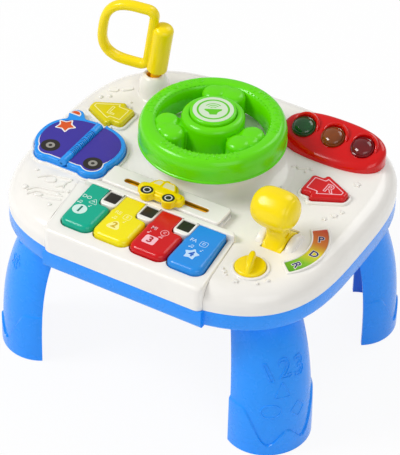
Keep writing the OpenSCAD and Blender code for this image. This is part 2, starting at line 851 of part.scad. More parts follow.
// Middle of a leg's flat side at height z, for the leg at +X +Y
function leg_mid(z) = [foot_x, foot_y] - leg_lean * pow(max(z, 0) / leg_h, 3) * leg_dir();

function leg_share(z) = 1 - leg_taper * pow(max(z, 0) / leg_h, 2.5);

// Half-round section of a leg, grown outwards; back takes it behind its flat side
function leg_ring(z, grow, back) = let (
    n = 20, half = foot_half * leg_share(z) + grow, bulge = foot_bulge * leg_share(z) + grow,
    arc = [for (i = [0 : n]) let (t = -90 + 180 * i / n) [bulge * cos(t), half * sin(t)]],
    flat = back > 0 ? concat(arc, [[-back, half], [-back, -half]]) : arc,
    mid = leg_mid(z), d = leg_dir())
    [for (p = flat) [mid[0] + p[0] * d[0] - p[1] * d[1], mid[1] + p[0] * d[1] + p[1] * d[0], z]];

function spigot_at() = leg_mid(leg_h) + 14 * leg_dir();

// The leg at +X +Y; the others mirror it
module leg() color(tray_blue) {
    levels = leg_h * [0.43, 0.59, 0.71, 0.82, 0.91, 1];
    cuff = 1.2;
    outer = concat([leg_ring(0, cuff, 0), leg_ring(cuff_h, cuff, 0), leg_ring(cuff_h + 1, 0, 0)],
        [for (z = levels) leg_ring(z, 0, 0)]);
    hollow = concat([leg_ring(-1, -leg_wall, 10), leg_ring(cuff_h, -leg_wall, 10)],
        [for (z = levels) leg_ring(z - leg_wall, -leg_wall, 10)]);
    difference() {
        union() {
            loft(outer);
            translate([spigot_at()[0], spigot_at()[1], leg_h - 1]) cylinder(r = spigot_r, h = spigot_h + 1);
        }
        loft(hollow);
        translate([spigot_at()[0], spigot_at()[1], leg_h - 10]) {
            cylinder(r = spigot_r - wall, h = spigot_h + 10 - wall);
            cylinder(r = screw_r + hole_gap, h = spigot_h + 20);
        }
    }
}

module leg_back_right() leg();
module leg_back_left() mirror([1, 0, 0]) leg();
module leg_front_right() mirror([0, 1, 0]) leg();
module leg_front_left() mirror([1, 0, 0]) mirror([0, 1, 0]) leg();

module each_leg() for (sx = [0, 1], sy = [0, 1]) mirror([sx, 0, 0]) mirror([0, sy, 0]) children();

// Front of the tray under the keyboard housing, drawn as a side view
module apron(low, inset) {
    front = -table_d / 2 + inset;
    high = parting + (inset > 0 ? 1 : 0);
    depth = 40;
    translate([-house_left + inset, 0, 0]) rotate([90, 0, 90])
        linear_extrude(house_left + house_right - 2 * inset)
            polygon([[front, high], [front, low + 4], [front + 1, low + 1.5], [front + 3, low],
                [front + depth, low], [front + depth, high]]);
}

module tray_form(inset, low, high) loft([
    at_z(deck_outline(inset + 3), low), at_z(deck_outline(inset + 1), low + 1.5),
    at_z(deck_outline(inset), low + 4), at_z(deck_outline(inset), high)]);

bay_l = cell_l + 8.5;
bay_w = 6 * cell_r + 3;
bay_h = 2 * cell_r + 1;
bay_wall = 3.6;
ledge = 2;
door_t = 2.2;
door_tab = [10, 10];

module bottom_shell() color(tray_blue) difference() {
    union() {
        difference() {
            union() {
                tray_form(0, leg_h, parting);
                apron(leg_h, 0);
            }
            tray_form(wall, tray_top, parting + 1);
            apron(tray_top, wall);
        }
        for (p = concat(case_bosses(), house_bosses()))
            translate([p[0], p[1], leg_h + 1]) cylinder(r = foot_boss_r, h = boss_low - leg_h - 1);
        for (p = board_posts()) translate([p[0], p[1], leg_h + 1])
            cylinder(r = board_post_r, h = board_z - leg_h - 1);
        each_leg() translate([spigot_at()[0], spigot_at()[1], leg_h + 1]) {
            cylinder(r = spigot_r + gap + 2, h = spigot_h + gap + wall - 1);
            cylinder(r = boss_r, h = spigot_h + leg_screw_l - wall);
        }
        translate([speaker_x, speaker_y, leg_h + 1]) cylinder(r = speaker_r + gap + 2, h = 6);
        translate([bay_x, bay_y, leg_h + 1])
            bay_block(bay_l + 2 * bay_wall, bay_w + 2 * bay_wall, tray_top + bay_h + wall - leg_h - 1);
        translate([bay_x, tab_y(), leg_h + 1]) {
            bay_block(door_tab[0] + 5, door_tab[1] + 5, 2 * wall - 1);
            cylinder(r = boss_r, h = 13);
        }
    }
    for (p = concat(case_bosses(), house_bosses())) translate([p[0], p[1], leg_h - 1]) {
        cylinder(r = screw_head_r + hole_gap, h = 1 + boss_low - screw_seat - leg_h);
        cylinder(r = screw_r + hole_gap, h = 20);
    }
    for (p = board_posts()) translate([p[0], p[1], board_z - board_screw_l])
        cylinder(r = small_screw_r + thread_gap, h = board_screw_l + 1);
    each_leg() translate([spigot_at()[0], spigot_at()[1], leg_h - 1]) {
        cylinder(r = spigot_r + gap, h = spigot_h + gap + 1);
        cylinder(r = screw_r + thread_gap, h = spigot_h + leg_screw_l - wall + 1);
    }
    speaker_seat();
    bay_hollows();
    // slot of the power switch
    translate([switch_x, switch_y - switch_w / 2 - gap, leg_h - 1])
        cube([switch_w + switch_travel + 2 * switch_play, switch_w + 2 * gap, wall + 2]);
}

module bay_block(l, w, h) translate([-l / 2, -w / 2, 0]) cube([l, w, h]);

module speaker_seat() {
    translate([speaker_x, speaker_y, tray_top]) cylinder(r = speaker_r + gap, h = 10);
    for (ring = [1, 2], i = [0 : 6 * ring - 1])
        translate([speaker_x, speaker_y, leg_h - 1]) rotate([0, 0, 60 * i / ring])
            translate([ring * 8, 0, 0]) cylinder(r = 1.6, h = wall + 2);
}

// Middle of the battery door's screw tab
function tab_y() = bay_y - bay_w / 2 - ledge - door_tab[1] / 2;

module bay_hollows() {
    translate([bay_x, bay_y, tray_top]) bay_block(bay_l, bay_w, bay_h);
    translate([bay_x, bay_y, leg_h]) bay_block(bay_l, bay_w, 5);
    translate([bay_x, bay_y, leg_h - 1]) bay_block(bay_l + 2 * ledge, bay_w + 2 * ledge, 1 + door_t + gap);
    translate([bay_x, tab_y() + 1, leg_h - 1])
        bay_block(door_tab[0] + 2 * gap, door_tab[1] + 2, 1 + door_t + gap);
    translate([bay_x, tab_y(), leg_h]) cylinder(r = screw_r + run_gap, h = 12);
}

module battery_door() color(tray_blue) difference() {
    union() {
        translate([bay_x, bay_y, leg_h])
            bay_block(bay_l + 2 * (ledge - gap), bay_w + 2 * (ledge - gap), door_t);
        translate([bay_x, tab_y() + 1 + gap, leg_h])
            bay_block(door_tab[0], door_tab[1] + 2 - 2 * gap, door_t);
    }
    translate([bay_x, tab_y(), leg_h - 1]) {
        cylinder(r = screw_r + run_gap, h = 10);
        cylinder(r = screw_head_r + gap, h = 2);
    }
}

module battery_screw() color(steel) translate([bay_x, tab_y(), leg_h]) {
    translate([0, 0, 0.2]) cylinder(r = screw_head_r, h = 0.8);
    cylinder(r = screw_r, h = 10);
}

function cell_y(i) = bay_y + i * (2 * cell_r + 0.8);
function cell_z() = tray_top + gap + cell_r;

module batteries() color("#3a7a4a") for (i = [-1 : 1])
    translate([bay_x - cell_l / 2, cell_y(i), cell_z()]) rod_x(cell_r, cell_l);

module battery_contacts() color(steel) for (side = [-1, 1]) {
    plate_t = 0.5;
    spring_l = (bay_l - cell_l) / 2 - plate_t;
    translate([bay_x + side * (bay_l - plate_t) / 2, bay_y, tray_top + 1])
        bay_block(plate_t, bay_w - 2, bay_h - 2);
    for (i = [-1 : 1])
        translate([bay_x + side * (bay_l - plate_t - spring_l) / 2 - spring_l / 2, cell_y(i), cell_z()])
            rod_x(3, spring_l);
}

switch_x = -46;
switch_y = -50;
switch_w = 6;
switch_travel = 7;
switch_play = 0.5;
switch_plate = 2;
switch_plate_l = 17;

module power_switch() color(black) translate([switch_x, switch_y, 0]) {
    translate([switch_play, -switch_w / 2, leg_h - 1]) cube([switch_w, switch_w, wall + 2]);
    translate([switch_play + (switch_w - switch_plate_l) / 2, -switch_w, tray_top + gap])
        cube([switch_plate_l, 2 * switch_w, switch_plate]);
}

module speaker() color(black) translate([speaker_x, speaker_y, tray_top]) rotate_extrude()
    polygon([[0, 0.5], [speaker_r - 3, 0.5], [speaker_r - 3, 0], [speaker_r, 0], [speaker_r, 3],
        [0.6 * speaker_r, magnet_low], [0.6 * speaker_r, magnet_high], [0, magnet_high]]);

// ---- boards and screws ----

module main_board() color(board_green) difference() {
    translate([main_board_x[0], board_front(), board_z])
        cube([main_board_x[1] - main_board_x[0], board_back() - board_front(), board_t]);
    for (p = board_posts()) translate([p[0], p[1], board_z - 1])
        cylinder(r = small_screw_r + hole_gap, h = board_t + 2);
}

module main_board_domes() color(silicone) for (i = [0 : 3])
    translate([plunger_x(i), plunger_y, board_z + board_t]) cylinder(r = switch_r, h = switch_h);

module arrow_board() difference() {
    translate([arrow_posts[0] - 6, -arrow_posts[1] - 3.5, board_z])
        cube([switch_r - arrow_posts[0] + 10, 2 * arrow_posts[1] + 7, board_t]);
    for (sy = [-1, 1]) translate([arrow_posts[0], sy * arrow_posts[1], board_z - 1])
        cylinder(r = small_screw_r + hole_gap, h = board_t + 2);
}

module arrow_boards() color(board_green) {
    at_left_arrow() arrow_board();
    at_right_arrow() arrow_board();
}

module arrow_board_domes() color(silicone) {
    at_left_arrow() translate([0, 0, board_z + board_t]) cylinder(r = switch_r, h = switch_h);
    at_right_arrow() translate([0, 0, board_z + board_t]) cylinder(r = switch_r, h = switch_h);
}

module case_screws() color(steel) {
    for (p = concat(case_bosses(), house_bosses())) translate([p[0], p[1], boss_low - screw_seat])
        screw(case_screw_l);
    for (p = light_bosses) translate([lights_x + p[0], lights_y + p[1], ceiling]) screw(case_screw_l);
    for (p = shaft_screws()) translate([wheel_x + p[0], wheel_y + p[1], shaft_foot]) screw(shaft_screw_l);
    each_leg() translate([spigot_at()[0], spigot_at()[1], leg_h + spigot_h - wall]) screw(leg_screw_l);
}

module board_screws() color(steel) {
    for (p = board_posts()) translate([p[0], p[1], board_z + board_t]) mirror([0, 0, 1])
        small_screw(board_screw_l);
    at_arrow_posts(board_z) small_screw(board_screw_l);
}

// ---- arrow buttons ----

module arrow_button() {
    low = ceiling - gap - 2.5;
    high = deck + arrow_rise;
    plunger_low = switch_top + arrow_travel + 0.2;
    difference() {
        union() {
            translate([0, 0, low]) linear_extrude(high - 1 - low) arrow_2d();
            translate([0, 0, low]) linear_extrude(high - low) arrow_2d(-0.8);
            translate([0, 0, low]) linear_extrude(2.5) arrow_2d(arrow_flange);
        }
        translate([0, 0, low - 1]) linear_extrude(high - wall - low + 1) arrow_2d(-wall);
    }
    translate([0, 0, plunger_low]) cylinder(r = plunger_r, h = high - 1 - plunger_low);
}

module left_arrow_button() color(yellow) at_left_arrow() arrow_button();
module right_arrow_button() color(red) at_right_arrow() arrow_button();

// ---- steering wheel ----

module at_wheel() translate([wheel_x, wheel_y]) children();

module steering_shaft() color(shell_white) at_wheel() difference() {
    union() {
        translate([0, 0, shaft_foot]) cylinder(r = shaft_foot_r, h = shaft_foot_t);
        translate([0, 0, shaft_foot + 2]) cylinder(r = shaft_r, h = washer_z - shaft_foot - 2);
    }
    translate([0, 0, washer_z - 16]) cylinder(r = 2 + thread_gap, h = 20);
    for (p = shaft_screws()) translate([p[0], p[1], shaft_foot - 1])
        cylinder(r = screw_r + hole_gap, h = shaft_foot_t + 2);
}

module shaft_screw() color(steel) at_wheel() translate([0, 0, washer_z]) {
    cylinder(r = 11, h = washer_t);
    translate([0, 0, -14]) cylinder(r = 2, h = 15);
}

// Section of the rim, hollow from below
module rim_section() {
    mid = (rim_r + rim_in_r) / 2;
    half = (rim_r - rim_in_r) / 2;
    crown = 0.55 * rim_h;
    t = 3;
    function arch(half, rise, low) = [for (i = [0 : 8]) let (a = 180 * i / 8)
        [mid + (half - 1) * cos(a), low + rise * sin(a)]];
    difference() {
        polygon(concat([[rim_r, 0], [rim_r, 2]], arch(half, crown, rim_h - crown), [[rim_in_r, 3]]));
        polygon(concat([[rim_r - t, -1]], arch(half - t, crown - t, rim_h - crown), [[rim_in_r + t, -1]]));
    }
}

// Spoke with two lobes between hub and rim
module spoke_2d() {
    for (side = [-1, 1]) translate([0.53 * (hub_r + rim_in_r), side * 9.5]) circle(r = 12.5);
    translate([hub_r - 4, -9]) square([rim_in_r - hub_r + 6, 18]);
}

module steering_wheel() color(wheel_green) at_wheel() difference() {
    union() {
        translate([0, 0, rim_low]) rotate_extrude($fn = 64) rim_section();
        for (i = [0 : 2]) rotate([0, 0, spoke_turn + 120 * i]) translate([0, 0, rim_low]) difference() {
            linear_extrude(hub_h - 4.5) spoke_2d();
            translate([0, 0, -1]) linear_extrude(hub_h - 4.5 + 1 - 3) offset(delta = -3) spoke_2d();
            translate([0, 0, -1]) rotate_extrude($fn = 64) translate([rim_in_r + 1.7, 0]) square([30, 40]);
        }
        translate([0, 0, hub_low]) cylinder(r1 = hub_r + 1, r2 = hub_r, h = hub_top - hub_low);
    }
    translate([0, 0, washer_z - 0.4]) cylinder(r = 12, h = 20);
    translate([0, 0, horn_low - horn_travel - 0.5]) cylinder(r = horn_r + gap, h = 20);
    translate([0, 0, hub_low - 1]) cylinder(r = shaft_r + run_gap, h = 40);
    translate([0, 0, hub_low - 1]) difference() {
        cylinder(r = hub_r - 3, h = washer_z - hub_low - 6);
        cylinder(r = 11, h = 40);
    }
}

module horn_button() color(wheel_green) at_wheel() difference() {
    union() {
        translate([0, 0, horn_low]) cylinder(r = horn_r, h = 6.6);
        translate([0, 0, horn_low]) cylinder(r = horn_r - 1, h = 7.6);
    }
    translate([0, 0, horn_low - 1]) cylinder(r = horn_r - wall, h = 8.6 - wall);
}

// ---- gear lever and dial ----

module lever_pin() color(steel)
    translate([lever_x - gate_w / 2 - ear_t, lever_y, lever_z]) rod_x(lever_pin_r, gate_w + 2 * ear_t);

module gear_lever() color(yellow) translate([lever_x, lever_y, lever_z]) rotate([lever_lean, 0, 0]) {
    w = gate_w - 2 * gap - 0.4;
    core = 6;
    difference() {
        union() {
            saddle(w, drum_r);
            stem(w - 1, 0);
            knob(0);
        }
        difference() {
            saddle(w - 2 * wall, drum_r - wall);
            rod_at_pin(core, 2 * w);
        }
        translate([-w, -core, -6]) cube([2 * w, 2 * core, 3]);
        stem(w - 1 - 2 * wall, wall);
        knob(wall);
        rod_at_pin(lever_pin_r + run_gap, 2 * w);
    }
}

module rod_at_pin(r, l) translate([-l / 2, 0, 0]) rod_x(r, l);

// Half drum that fills the lever's gate
module saddle(w, r) intersection() {
    rod_at_pin(r, w);
    translate([-w, -r, -5]) cube([2 * w, 2 * r, r + 5]);
}

module knob(inset) translate([0, 0, lever_l]) rotate([0, 90, 0]) rotate_extrude() intersection() {
    polygon(super_outline(knob_r - inset, knob_half - inset, 2.8, 40));
    translate([0, -knob_half]) square([knob_r, 2 * knob_half]);
}

module stem(w, inset) {
    low = drum_r - 5 - inset;
    rings = [[low, 12], [drum_r + 3, 9], [drum_r + 9, 8], [lever_l - 8 + inset, 9]];
    loft([for (r = rings) at_z(round_poly(rect(-w / 2, inset - r[1], w / 2, r[1] - inset), 3, 0), r[0])]);
}

module dial_knob() color(yellow) translate([dial_x, dial_y, 0]) {
    low = deck + gap;
    disc_t = 3.4;
    translate([0, 0, low]) cylinder(r = dial_r - 0.7, h = disc_t + 0.7);
    translate([0, 0, low]) cylinder(r = dial_r, h = disc_t);
    translate([0, 0, ceiling - gap]) cylinder(r = 5, h = low + 1 - ceiling + gap);
    translate([0, 0, low + 1]) rotate([0, 0, grip_turn])
        block(rect(-dial_r + 0.3, -3.2, dial_r - 0.3, 3.2), disc_t + grip_h, 3, 2);
}

module dial_clip() color(shell_white) translate([dial_x, dial_y, ceiling - gap - 2]) cylinder(r = 8, h = 2);

// ---- traffic light ----

function lights_outline(inset) =
    super_outline(lights_half_l - inset, lights_half_d - inset, lights_power, 48);

function lights_ring(inset, h) = [for (p = lights_outline(inset)) [p[0], p[1], h + p[1] * tan(lights_tilt)]];

module lights_form(inset) {
    top = deck + lights_mid - inset;
    low = inset > 0 ? deck - 1 : deck;
    loft([at_z(lights_outline(inset), low),
        lights_ring(inset, top - 3.5), lights_ring(inset + 0.5, top - 1.8),
        lights_ring(inset + 1.8, top - 0.5), lights_ring(inset + 3.5, top)]);
}

// Puts its children on the traffic light's sloping face, at lens i of -1, 0, 1
module on_face(i) {
    face_z = deck + lights_mid + lens_back * tan(lights_tilt);
    translate([lights_x + i * lens_pitch, lights_y + lens_back, face_z])
        rotate([lights_tilt, 0, 0]) children();
}

module traffic_housing() color(red) difference() {
    union() {
        translate([lights_x, lights_y, 0]) difference() {
            lights_form(0);
            lights_form(wall);
        }
        for (p = light_bosses) translate([lights_x + p[0], lights_y + p[1], deck])
            cylinder(r = board_post_r, h = lights_mid + 2);
        for (i = [-1 : 1]) on_face(i) rotate([0, 0, 15]) rotate_extrude(angle = 150)
            translate([lens_r + gap + 0.2, -1]) square([2.4, 5]);
    }
    for (i = [-1 : 1]) on_face(i) translate([0, 0, -8]) cylinder(r = lens_r + gap, h = 20);
    for (p = light_bosses) translate([lights_x + p[0], lights_y + p[1], deck - 1])
        cylinder(r = screw_r + thread_gap, h = 14);
}

module lens() {
    cap = 4;
    sphere_r = (lens_r * lens_r + cap * cap) / (2 * cap);
    translate([0, 0, -wall - 0.4]) intersection() {
        translate([0, 0, -1]) cylinder(r = lens_r, h = 20);
        translate([0, 0, 3.2 + cap - sphere_r]) sphere(r = sphere_r);
        translate([-30, -30, -1]) cube(60);
    }
    translate([0, 0, -wall - 2.2]) cylinder(r = lens_r + 1.3, h = 1.9);
}

module lens_green() color([0.1, 0.35, 0.15]) on_face(-1) lens();
module lens_amber() color([0.5, 0.28, 0.02]) on_face(0) lens();
module lens_red() color([0.5, 0.02, 0.08]) on_face(1) lens();

module lamp_board() color(board_green) translate([lights_x - lens_pitch - lens_r, lights_y - lens_r, deck])
    cube([2 * (lens_pitch + lens_r), 1.5 * lens_r, board_t]);

module lamp_leds() color("white") for (i = [-1 : 1])
    translate([lights_x + i * lens_pitch, lights_y - 3, deck + board_t]) cylinder(r = 2.5, h = 5);

// ---- flip book ----

// Barrels of the hinge: even ones are fixed, odd ones turn with the page
module barrels(first) {
    l = 2 * barrel_half / knuckles;
    for (i = [first : 2 : knuckles - 1]) translate([0, -barrel_half + i * l + gap / 2, 0]) children(0);
}

module barrel_part(side, low) {
    l = 2 * barrel_half / knuckles - gap;
    difference() {
        union() {
            translate([0, 0, hinge_z]) rod_y(barrel_r, l);
            translate([side > 0 ? 0 : -barrel_r - 3, 0, low]) cube([barrel_r + 3, l, hinge_z - low]);
        }
        translate([0, -1, hinge_z]) rod_y(hinge_pin_r + (side > 0 ? run_gap : 0), l + 2);
    }
}

module leaf_2d(side) intersection() {
    book_2d(-0.4);
    translate([side > 0 ? barrel_r + gap : -2 * book_half_l - barrel_r - gap, -2 * book_half_w])
        square([2 * book_half_l, 4 * book_half_w]);
}

module book_base_leaf() color(book_blue) at_book() {
    translate([0, 0, deck]) linear_extrude(book_base) book_2d();
    translate([0, 0, deck]) linear_extrude(book_base + gap + page_t - 0.8) leaf_2d(-1);
    translate([0, 0, deck]) linear_extrude(book_base + gap + page_t) offset(delta = -0.8) leaf_2d(-1);
    barrels(0) barrel_part(-1, deck + 1);
}

module book_page() color(book_blue) at_book() {
    translate([0, 0, leaf_low]) linear_extrude(page_t - 0.8) leaf_2d(1);
    translate([0, 0, leaf_low]) linear_extrude(page_t) offset(delta = -0.8) leaf_2d(1);
    barrels(1) barrel_part(1, leaf_low);
}

module book_pin() color(steel) at_book()
    translate([0, 1 - barrel_half, hinge_z]) rod_y(hinge_pin_r, 2 * barrel_half - 2);

// ---- turning key ----

ball_z = deck + ball_rise;

module at_key() translate([key_x, key_y, 0]) children();

module key_dome() color(shell_white) at_key() difference() {
    translate([0, 0, deck]) rotate_extrude()
        polygon([[0, 0], [dome_r, 0], [dome_r, 0.4 * dome_h], [dome_r - 0.6, 0.6 * dome_h],
            [dome_r - 2.4, 0.8 * dome_h], [dome_r - 5, 0.95 * dome_h], [dome_r - 7.5, dome_h], [0, dome_h]]);
    translate([0, 0, deck - 1]) cylinder(r = ball_r + 3, h = ball_rise - 2);
    translate([0, 0, ball_z]) sphere(r = ball_r + gap);
    translate([0, 0, ball_z - 4]) cylinder(r = ball_r + gap, h = 4);
    translate([0, 0, ball_z]) cylinder(r = 8.2, h = 30);
}

module key_cup() color(shell_white) at_key() difference() {
    translate([0, 0, deck]) cylinder(r = ball_r + 3 - gap, h = ball_rise - 4);
    translate([0, 0, ball_z]) sphere(r = ball_r + gap);
}

module turning_key() color(yellow) at_key() translate([0, 0, ball_z]) rotate([0, key_lean, 0]) {
    sphere(r = ball_r);
    cylinder(r = ring_r, h = post_low + 1);
    translate([0, 0, post_low]) cylinder(r = post_r, h = post_high - post_low - 4);
    translate([0, 0, post_high - 4]) intersection() {
        cylinder(r = post_r, h = 4);
        translate([0, 0, 4 - 2 * post_r]) sphere(r = 2 * post_r);
    }
    rotate([0, 0, 180 + key_turn]) translate([post_r, 0, ring_mid]) handle();
}

// D-shaped ring in the XZ plane, its straight side on the post
module handle() {
    corner = 8;
    arc = ring_half - corner;
    for (side = [-1, 1]) translate([corner, 0, side * ring_half]) rod_x(ring_r, ring_arm - corner);
    translate([corner, 0, arc]) bent_rod(corner, 90, 90);
    translate([corner, 0, -arc]) bent_rod(corner, 180, 90);
    translate([0, 0, -arc]) cylinder(r = ring_r, h = 2 * arc);
    translate([ring_arm, 0, 0]) bent_rod(ring_half, -90, 180);
}

// Round rod bent in the XZ plane, from one angle on through a sweep
module bent_rod(r, from, sweep)
    rotate([90, 0, 0]) rotate([0, 0, from])
        rotate_extrude(angle = sweep) translate([r, 0]) circle(r = ring_r);

// ---- assembly ----

top_shell();
keyboard_housing();
black_keys();
slider_track();
bottom_shell();
leg_front_left();
leg_front_right();
leg_back_left();
leg_back_right();
steering_shaft();
shaft_screw();
steering_wheel();
horn_button();
piano_key_1();
piano_key_2();
piano_key_3();
piano_key_4();
key_rod();
left_arrow_button();
right_arrow_button();
slider_car();
slider_shoe();
gear_lever();
lever_pin();
dial_knob();
dial_clip();
traffic_housing();
lens_green();
lens_amber();
lens_red();
lamp_leds();
lamp_board();
book_base_leaf();
book_page();
book_pin();
key_dome();
key_cup();
turning_key();
main_board();
main_board_domes();
arrow_boards();
arrow_board_domes();
speaker();
batteries();
battery_contacts();
battery_door();
battery_screw();
power_switch();
case_screws();
board_screws();
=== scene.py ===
"""Looks of the musical activity table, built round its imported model.

Lengths inside the shape functions are millimetres; pieces are made in metres.
"""

import math

import bmesh
import bpy
from mathutils import Matrix, Vector
from mathutils.geometry import tessellate_polygon


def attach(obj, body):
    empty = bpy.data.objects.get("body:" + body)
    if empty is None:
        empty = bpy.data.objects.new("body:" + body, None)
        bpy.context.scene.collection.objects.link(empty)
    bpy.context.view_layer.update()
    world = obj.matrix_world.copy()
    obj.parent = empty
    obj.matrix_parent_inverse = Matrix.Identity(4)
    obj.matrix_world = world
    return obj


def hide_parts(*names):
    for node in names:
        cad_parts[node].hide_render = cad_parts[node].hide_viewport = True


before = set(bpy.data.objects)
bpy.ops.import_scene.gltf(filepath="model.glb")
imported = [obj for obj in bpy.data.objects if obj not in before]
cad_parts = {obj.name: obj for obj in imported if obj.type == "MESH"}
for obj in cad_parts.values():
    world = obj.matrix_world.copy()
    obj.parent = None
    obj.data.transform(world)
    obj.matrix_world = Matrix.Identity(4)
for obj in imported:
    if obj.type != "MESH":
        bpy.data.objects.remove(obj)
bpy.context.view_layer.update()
MM = 0.001

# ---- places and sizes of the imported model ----

DECK = 204.0
PARTING = 177.5  # between the cover and the blue casing
GAP = 0.3  # round pieces that lie in an opening
LEG_H = 157.0
LEG_AT = (135.5, 97.5)
LEG_ROUND = 41.5  # radius for figures laid on a leg
LEG_TURN = math.radians(33.5)
WHEEL = (-1.5, 18.0)
RIM_LOW = 234.5
SHOULDER = 11.8  # height of the rim's sides below its crown
HUB_TOP = 266.5
HORN_TOP = 270.3
KEY_TOP = 212.0
KEY_FRONT = -146.0
KEY_WIDTH = 40.7
FIRST_KEY = -80.3  # left side of key 1
KEY_TAPER = 10 / 91  # slope of key 4's right side
BADGES = [(-69.0, -123.6), (-27.0, -127.0), (14.2, -128.0), (59.0, -125.4)]
BAR_TOP = 213.5
CAR = Matrix.Translation((-9.5, -75.5, 0)) @ Matrix.Diagonal((1.04, 1.04, 1, 1))
CAR_LOW, CAR_HIGH = BAR_TOP + GAP, BAR_TOP + 9.3
CAR_WHEELS = (-11.8, 11.8)
CAR_WINDOWS = [[(-12.5, 13.2), (-4.6, 13.2), (-4.6, 19.6), (-9.4, 19.6)],
               [(-2.0, 12.4), (11.4, 12.4), (7.0, 20.2), (-2.0, 20.2)]]
LEVER = (115.7, -52.0, 187.0)
DIAL = (113.0, -105.5)
SCALE_AT = (105.5, -53.5)
SCALE_TOP = DECK + 0.35
BOOK = (-123.7, -35.0)
BOOK_TOP = 211.8
HINGE_Z = 212.1
KEY_AT = (-113.0, 89.0)
BALL_Z = 215.0
LIGHTS = (92.5, 101.0)
LIGHTS_TOP = DECK + 16.5
LIGHTS_HALF = (57.5, 26.5)
LIGHTS_TILT = math.atan(16 / 53)
LEFT_ARROW = (-130.5, 30.0)
RIGHT_ARROW = (121.4, 33.0)

# ---- camera, fitted to the photograph ----

CAMERA_TURN, CAMERA_HEIGHT, CAMERA_ROLL = 29.47, 38.995, 1.43
CAMERA_AIM = (0, 0.002, 0.1455)
CAMERA_AWAY = 2.45522
PHOTO_PIXELS = 455
LENS_PIXELS = 2407.09
SHIFT_PIXELS = (-4.04, -11.20)


# ---- shapes: lists of points in millimetres and of faces ----


def shift(x, y, z=0.0):
    return Matrix.Translation((x, y, z))


def turn(degrees, axis="Z"):
    return Matrix.Rotation(math.radians(degrees), 4, axis)


KEY_LEAN = shift(*KEY_AT, BALL_Z) @ turn(8.4, "Y")
HINGE = shift(*BOOK, HINGE_Z) @ turn(-90, "X")


def moved(shape, matrix):
    return [tuple(matrix @ Vector(v)) for v in shape[0]], shape[1]


def bent(shape, place):
    """The shape with each of its points put where place says"""
    return [tuple(place(*v)) for v in shape[0]], shape[1]


def join(*shapes):
    verts, faces = [], []
    for v, f in shapes:
        n = len(verts)
        verts += v
        faces += [[i + n for i in face] for face in f]
    return verts, faces


def ring(outline, z):
    return [(p[0], p[1], z) for p in outline]


def stack(rings, low=True, high=True):
    """Skin through rings that have equally many points"""
    n = len(rings[0])
    last = len(rings) - 1
    faces = [
        [j * n + i, j * n + (i + 1) % n, (j + 1) * n + (i + 1) % n, (j + 1) * n + i]
        for j in range(last)
        for i in range(n)
    ]
    if low:
        faces.append(list(range(n))[::-1])
    if high:
        faces.append([last * n + i for i in range(n)])
    return [p for r in rings for p in r], faces


def lathe(profile, n=96, closed=False):
    """Turned shape through (radius, height) points"""
    if closed:
        profile = list(profile) + [profile[0]]
    rings = [ring(circle(0, 0, max(r, 1e-4), n), z) for r, z in profile]
    return stack(rings, not closed, not closed)


def arc(cx, cy, r, start, end, steps=8):
    turns = [math.radians(start + (end - start) * i / steps) for i in range(steps + 1)]
    return [(cx + r * math.cos(t), cy + r * math.sin(t)) for t in turns]


def quarter(steps):
    """Angles from nothing to a right angle"""
    return [math.pi / 2 * i / steps for i in range(steps + 1)]


def full_turn(n):
    return [math.tau * i / n for i in range(n)]


def bulge(width, height, steps):
    """Quarter of an ellipse, as pairs of how far in and how far up"""
    return [(width * (1 - math.cos(t)), height * math.sin(t)) for t in quarter(steps)]


def eased(r, z, width, height, steps):
    """Rounded end of a turned wall at radius r and height z"""
    return [(r - u, z + v) for u, v in bulge(width, height, steps)]


def circle(cx, cy, r, n=64):
    return arc(cx, cy, r, 0, 360, n)[:-1]


def superellipse(a, b, power, n):
    def side(v):
        return math.copysign(abs(v) ** (2 / power), v)

    return [(a * side(math.cos(t)), b * side(math.sin(t))) for t in full_turn(n)]


def rect(x0, y0, x1, y1):
    return [(x0, y0), (x1, y0), (x1, y1), (x0, y1)]


def soft(points, radius, steps=6):
    """Outline with its corners rounded; radius is one number or one for each corner"""
    out, n = [], len(points)
    for i, p in enumerate(points):
        r = radius[i] if isinstance(radius, (list, tuple)) else radius
        p, a, b = Vector(p), Vector(points[i - 1]), Vector(points[(i + 1) % n])
        start = p + (a - p).normalized() * min(r, (a - p).length * 0.49)
        end = p + (b - p).normalized() * min(r, (b - p).length * 0.49)
        for k in range(steps + 1):
            t = k / steps
            q = start * (1 - t) ** 2 + p * 2 * t * (1 - t) + end * t * t
            out.append((q.x, q.y))
    return out


def fillet(points, radii, steps=8):
    """Outline with its corners rounded by true arcs, one radius for each"""
    out, n = [], len(points)
    for i, r in enumerate(radii):
        p, a, b = Vector(points[i]), Vector(points[i - 1]), Vector(points[(i + 1) % n])
        u, v = (a - p).normalized(), (b - p).normalized()
        half = math.acos(max(-1.0, min(1.0, u.dot(v)))) / 2
        middle = p + (u + v).normalized() * (r / math.sin(half))
        start, end = p + u * (r / math.tan(half)) - middle, p + v * (r / math.tan(half)) - middle
        first = math.atan2(start.y, start.x)
        sweep = (math.atan2(end.y, end.x) - first + math.pi) % math.tau - math.pi
        turns = [first + sweep * k / steps for k in range(steps + 1)]
        out += [(middle.x + r * math.cos(t), middle.y + r * math.sin(t)) for t in turns]
    return out


def mitre(points, grow):
    """Outline moved outwards by grow, one value or one for each point; its points run anticlockwise"""
    out, n = [], len(points)
    for i, p in enumerate(points):
        step = grow[i] if isinstance(grow, list) else grow
        p, a, b = Vector(p), Vector(points[i - 1]), Vector(points[(i + 1) % n])
        u, v = (p - a).normalized(), (b - p).normalized()
        m = Vector((u.y + v.y, -u.x - v.x))
        m = m / max(m.length_squared / 2, 0.2)
        out.append((p.x + m.x * step, p.y + m.y * step))
    return out


